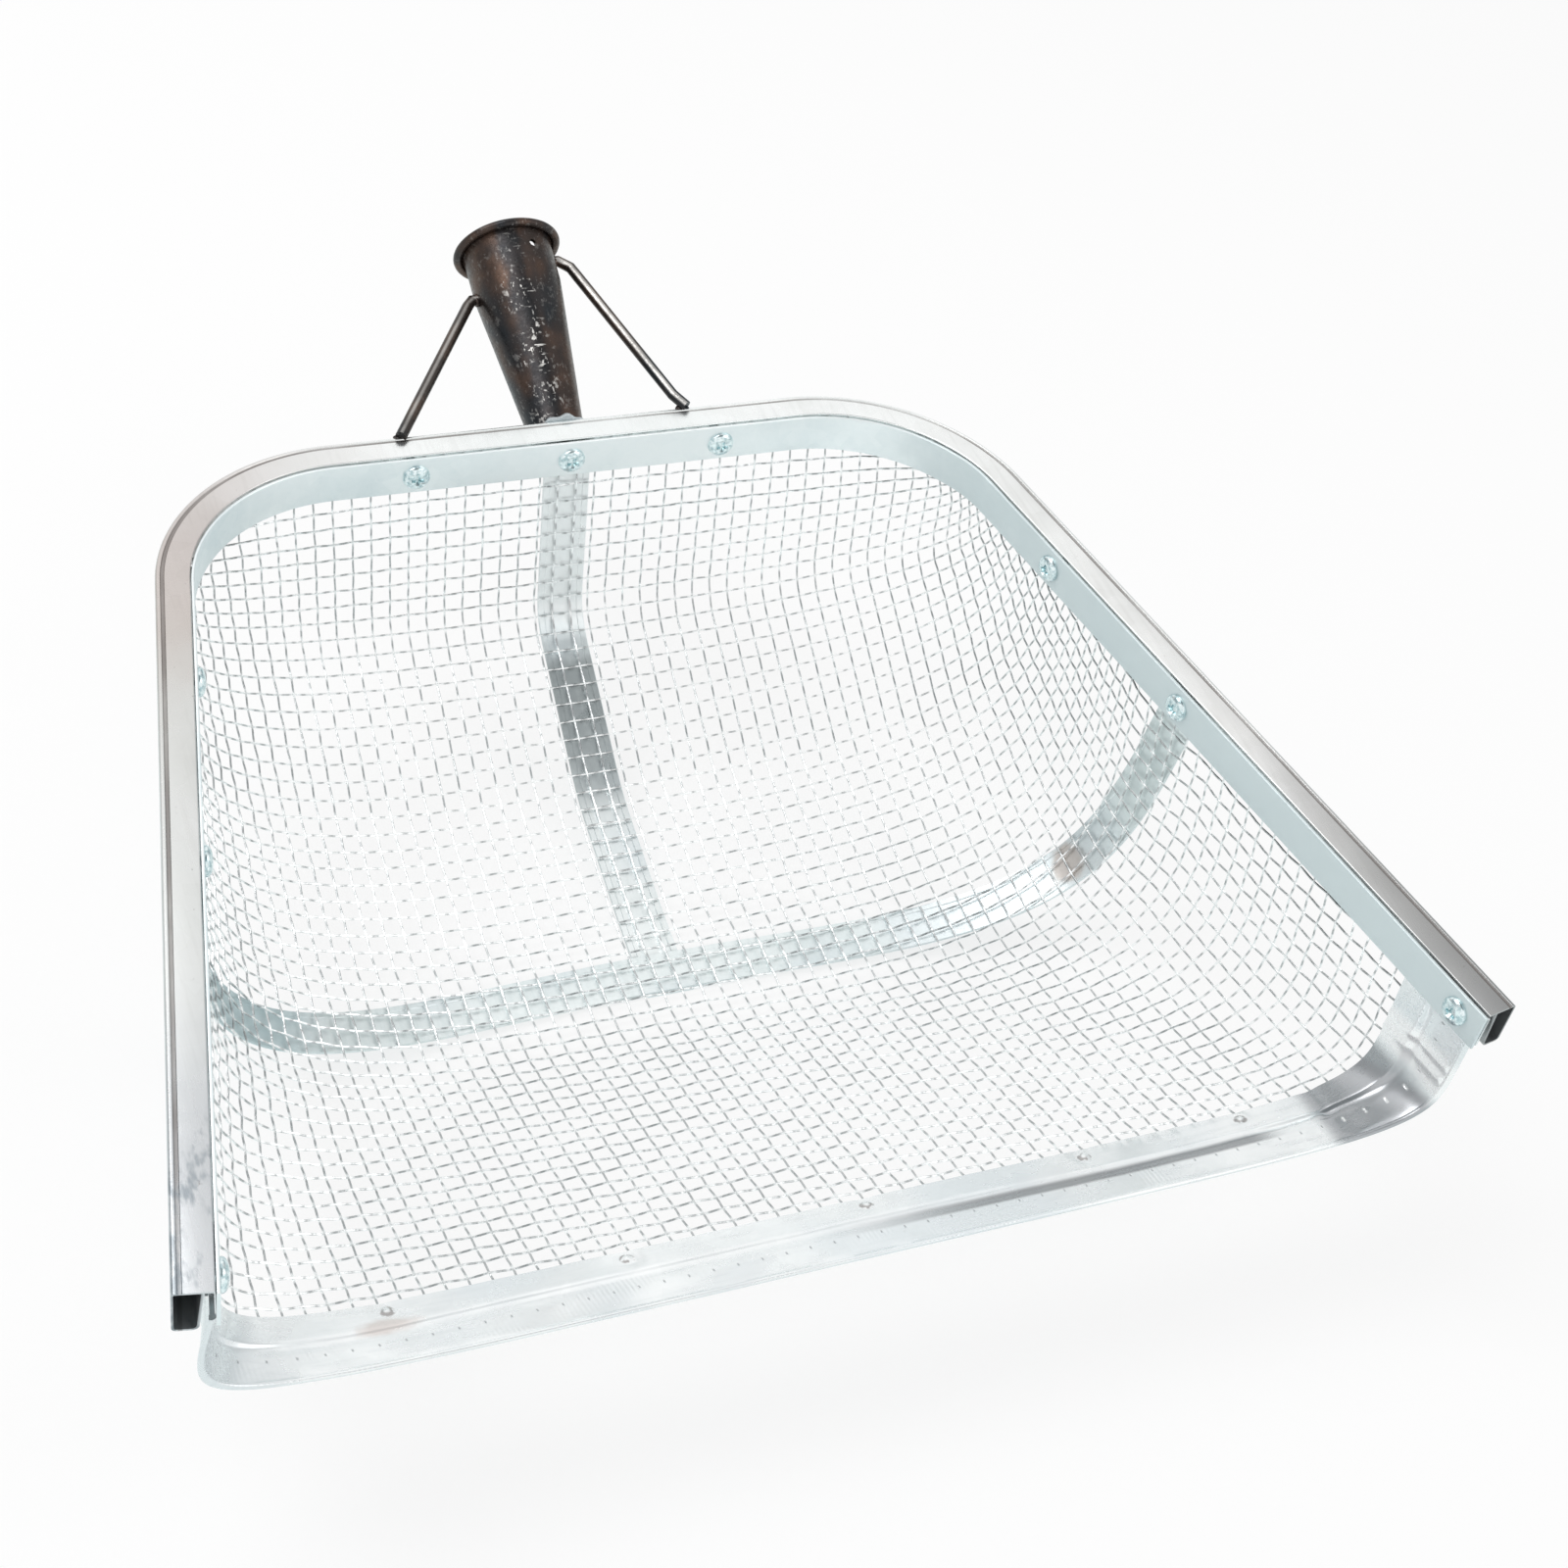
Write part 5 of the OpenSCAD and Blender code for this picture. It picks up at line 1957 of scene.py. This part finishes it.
@dataclass
class Screws:
    """Pan-head screws with a cross recess, along the clamp strip.

    Attributes:
        head_r: radius of a head.
        head_h: height of a head.
        shank_r: radius of a shank.
        length: length of a shank.
        turns: number of sides of a screw.
        recess_w: half width of a recess's slot.
        back_x: sideways places of the screws at the back.
        leg_y: distances from the mouth of the screws on each leg.
    """

    head_r: float = 5.6
    head_h: float = 3.0
    shank_r: float = 2.0
    length: float = 10.0
    turns: int = 40
    recess_w: float = 0.85
    back_x: tuple[float, ...] = (-66.0, 0.0, 66.0)
    leg_y: tuple[float, ...] = (12.0, 178.0, 266.0)

    def pattern(self) -> Object:
        """One screw at the origin with its head toward +Z, in metres.

        Returns:
            The screw.
        """
        head = [(share * self.head_r, z) for share, z in
                ((0.97, 1.3), (0.88, 1.9), (0.72, 2.45), (0.5, 2.8), (0.25, 2.97), (0.0, self.head_h))]
        profile = [(0.0, -self.length), (0.7, -self.length), (self.shank_r, 2.6 - self.length),
                   (self.shank_r, 0.0), (self.head_r - 0.3, 0.0), (self.head_r, 0.3), (self.head_r, 0.8),
                   *head]
        angles = [2 * math.pi * k / self.turns for k in range(self.turns)]
        rings = np.array([[(r * math.cos(a), r * math.sin(a), z) for a in angles] for r, z in profile])
        points, faces = tube(rings, caps=False)
        screw = new_piece("screw_pattern", points + REST, faces)
        reach, deep = self.head_r * 0.52, self.head_h * 0.55
        corners = np.array([(-reach, -self.recess_w), (reach, -self.recess_w), (reach, self.recess_w),
                            (-reach, self.recess_w)])
        for cos, sin in ((1.0, 0.0), (0.0, 1.0)):
            rings = [[(x * cos - y * sin, x * sin + y * cos, z) for x, y in corners * grow]
                     for z, grow in ((self.head_h - deep, 0.55), (self.head_h + 1.0, 1.15))]
            cut_away(screw, new_piece("recess_blade", *tube(np.array(rings) + REST)))
        return screw

    def build(self, material: Material) -> None:
        """Drive all screws.

        Args:
            material: finish of the screws.
        """
        groups = {"back": [RIM.back_place(x) for x in self.back_x],
                  "left": [RIM.leg_place(y, -1) for y in self.leg_y],
                  "right": [RIM.leg_place(y, 1) for y in self.leg_y]}
        for name, stations in groups.items():
            spots = [(s.at(CLAMP_IN + 0.05, -SCREW_DROP), (*s.inward, 0.0)) for s in stations]
            piece = copies_at(f"{name}_screw_set", self.pattern(), spots, material)
            place(piece, Slot.SCREW, material, f"{name}_screws")


# ---------------------------------------------------------------- studio

@dataclass
class Studio:
    """Pale floor, soft light and the camera.

    Attributes:
        eye: the camera's place in rim space.
        heading: angle of the view from +Y toward +X, in degrees.
        pitch: angle of the view below the horizon, in degrees.
        nose_down: tilt of the scoop under the camera's horizon, in degrees.
        focal: focal length in pixels of a 1600-pixel image.
        image: width of that image in pixels.
        sensor: width of the sensor in millimetres.
        floor_size: width of the floor in metres.
        glow: share of the floor's own light where the camera or metal sees it.
        ambient: strength of the light from all round.
        zones: parts of the mirrored studio, each with a direction, an outer and an inner
            half-angle in degrees, a strength and a colour.
        boxes: name, place, width in metres and power in watts of each soft box.
        aim: place that the soft boxes face.
    """

    eye: tuple[float, float, float] = (-314.30, -432.92, 659.09)
    heading: float = 22.3
    pitch: float = 23.0
    nose_down: float = 23.4
    focal: float = 2650.0
    image: float = 1600.0
    sensor: float = 36.0
    floor_size: float = 12.0
    glow: float = 0.72
    ambient: float = 0.72
    zones: tuple[tuple[Point, float, float, float, Colour], ...] = (
        ((0.0, -0.30, 0.95), 34.0, 14.0, 0.92, (0.24, 0.27, 0.28)),
        ((-0.67, 0.02, 0.73), 20.0, 8.0, 0.65, (0.20, 0.21, 0.22)),
        ((0.72, 0.34, 0.60), 24.0, 6.0, 0.40, (0.26, 0.26, 0.26)),
        ((-0.85, 0.50, 0.12), 42.0, 14.0, 0.60, (0.22, 0.24, 0.25)),
        ((0.90, 0.42, 0.02), 36.0, 10.0, 0.60, (0.25, 0.29, 0.31)))
    boxes: tuple[tuple[str, Point, float, float], ...] = (
        ("key_box", (-0.9, 0.5, 1.9), 1.3, 16.0), ("fill_box", (1.3, -0.9, 1.5), 1.2, 5.0))
    aim: tuple[float, float, float] = (0.0, 0.0, 0.05)

    def camera(self) -> None:
        """Set up the camera."""
        heading, pitch, nose = (math.radians(a) for a in (self.heading, self.pitch, self.nose_down))
        forward = Vector((math.sin(heading) * math.cos(pitch), math.cos(heading) * math.cos(pitch),
                          -math.sin(pitch)))
        right = Vector((math.cos(heading), -math.sin(heading), 0.0))
        level = Matrix.Rotation(-nose, 3, "X")
        axes = [level @ v for v in (right, right.cross(forward), -forward)]
        data = bpy.data.cameras.new("camera")
        data.sensor_width = self.sensor
        data.lens = self.focal / self.image * self.sensor
        data.clip_end = 50.0
        camera = bpy.data.objects.new("camera", data)
        camera.matrix_world = (Matrix.Translation(to_frame(np.array(self.eye)).tolist())
                               @ Matrix(axes).transposed().to_4x4())
        bpy.context.scene.collection.objects.link(camera)
        bpy.context.scene.camera = camera

    def floor(self) -> None:
        """Lay the pale floor, which keeps a soft shadow."""
        made, graph = new_material("pale_floor")
        path = graph.add("ShaderNodeLightPath").outputs
        seen = graph.math("MAXIMUM", path["Is Camera Ray"], path["Is Glossy Ray"])
        seen = graph.math("MAXIMUM", seen, path["Is Transmission Ray"])
        tone = graph.mix(graph.noise(900.0, 2.0), (0.90, 0.90, 0.90), (0.93, 0.93, 0.93))
        plain = graph.value("ShaderNodeBsdfDiffuse", Color=tone)
        cast = graph.mix(path["Is Glossy Ray"], WHITE, (0.88, 0.965, 0.965))
        light = graph.value("ShaderNodeEmission", Color=cast, Strength=1.0)
        both = graph.value("ShaderNodeMixShader", n0=seen * self.glow, n1=plain, n2=light)
        graph.add("ShaderNodeOutputMaterial", Surface=both)
        half = self.floor_size / 2
        mesh = bpy.data.meshes.new("pale_floor")
        mesh.from_pydata([(-half, -half, 0.0), (half, -half, 0.0), (half, half, 0.0), (-half, half, 0.0)],
                         [], [(0, 1, 2, 3)])
        mesh.materials.append(made)
        floor = in_scene("pale_floor", mesh)

    def world(self) -> None:
        """Give the metal a white studio with a darker ceiling to mirror."""
        world = bpy.data.worlds.new("studio")
        bpy.context.scene.world = world
        world.use_nodes = True
        graph = Graph(world.node_tree)
        way = graph.value("ShaderNodeTexCoord", "Generated")
        mirrored: Value | Colour = WHITE
        for direction, start, end, strength, colour in self.zones:
            facing = graph.value("ShaderNodeVectorMath", "Value", {"operation": "DOT_PRODUCT"}, n0=way,
                                 n1=tuple(Vector(direction).normalized()))
            share = facing.ramp(math.cos(math.radians(start)), math.cos(math.radians(end)))
            mirrored = graph.mix(share * strength, mirrored, colour)
        path = graph.add("ShaderNodeLightPath").outputs
        glossy = graph.value("ShaderNodeBackground", Color=mirrored, Strength=1.0)
        soft, white = (graph.value("ShaderNodeBackground", Color=(*WHITE, 1.0), Strength=strength)
                       for strength in (self.ambient, 1.0))
        first = graph.value("ShaderNodeMixShader", n0=path["Is Glossy Ray"], n1=soft, n2=glossy)
        seen = graph.math("MAXIMUM", path["Is Camera Ray"], path["Is Transmission Ray"])
        last = graph.value("ShaderNodeMixShader", n0=seen, n1=first, n2=white)
        graph.add("ShaderNodeOutputWorld", Surface=last)

    def lamps(self) -> None:
        """Hang the soft boxes."""
        for name, spot, size, power in self.boxes:
            data = bpy.data.lights.new(name, "AREA")
            data.shape, data.size, data.energy = "SQUARE", size, power
            lamp = bpy.data.objects.new(name, data)
            lamp.location = spot
            lamp.rotation_euler = (Vector(self.aim) - Vector(spot)).to_track_quat("-Z", "Y").to_euler()
            bpy.context.scene.collection.objects.link(lamp)

    def build(self) -> None:
        """Set the stage."""
        self.camera()
        self.floor()
        self.world()
        self.lamps()
        bpy.context.scene.view_settings.view_transform = "Standard"
        LOG.info("studio ready")


RIM_ZINC = RimSheet("rim_zinc", colour=WHITE, dull=(0.82, 0.82, 0.81), tint=(0.95, 0.97, 0.97), rough=0.27,
                    relief=0.03)
# The strip's darker, less metallic right leg is painted shade.
STRIP_ZINC = ZincSheet("strip_zinc", colour=(0.92, 0.965, 0.97), dull=(0.74, 0.82, 0.84),
                       tint=(0.97, 0.99, 0.99), rough=0.44, streak=0.12, stain=0.0, relief=0.02,
                       end_axis=0, end_tone=(0.13, 0.18), end_colour=(0.66, 0.745, 0.76))
# The centre strap has a painted dark reflection band part way along Y, and a paler end at the top.
CENTRE_ZINC = ZincSheet("centre_zinc", colour=(0.91, 0.95, 0.95), dull=(0.74, 0.79, 0.79), rough=0.32,
                        end_tone=(0.050, 0.066), painted_reflection_band=(0.062, 0.128, 0.143, 0.151))
CROSS_ZINC = ZincSheet("cross_zinc", colour=(0.90, 0.95, 0.95), dull=(0.72, 0.79, 0.79), rough=0.38,
                       end_axis=0, end_tone=(-0.140, -0.170), end_colour=(0.60, 0.72, 0.74),
                       rust=(0.172, -0.008, 0.039))
LIP_ZINC = LipSheet("lip_zinc", colour=(0.97, 0.99, 0.99), dull=(0.78, 0.81, 0.82), rough=0.23,
                    stretch=(10.0, 1.0, 1.0), relief=0.032, marks=FrontLip().marks())
WELD_ZINC = ZincSheet("weld_zinc", colour=(0.62, 0.66, 0.68), dull=(0.30, 0.32, 0.33), rough=0.42,
                      relief=0.15)
# Darker copy of the wire finish for the long wires: painted shade, as wires of the two directions catch the
# light differently.
LONG_WIRE = ZincWire("long_wire", colour=(0.57, 0.58, 0.585), dull=(0.36, 0.37, 0.375), painted_highlight=(0.46, 0.92))
# Finish of the stays, with a painted highlight along their upward side.
PAINTED_HIGHLIGHT_STEEL = ScaledSteel("rubbed_steel", scale=(0.06, 0.05, 0.045), brown=(0.10, 0.07, 0.055),
                           scratches=0.3, top_highlight=0.8)


def main() -> None:
    """Build the scoop piece by piece."""
    logging.basicConfig(level=logging.INFO, format="%(name)s: %(message)s")
    Studio().build()
    Rim().build(RIM_ZINC.material())
    ClampStrip().build(STRIP_ZINC.material())
    WovenPan().build(ZincWire().material(), LONG_WIRE.material())
    Straps().build(CENTRE_ZINC.material(), CROSS_ZINC.material())
    FrontLip().build(LIP_ZINC.material())
    PoleSocket().build(ScaledSteel().material(), PAINTED_HIGHLIGHT_STEEL.material(), WELD_ZINC.material())
    Screws().build(PlatedScrew().material())


if __name__ == "__main__":
    main()
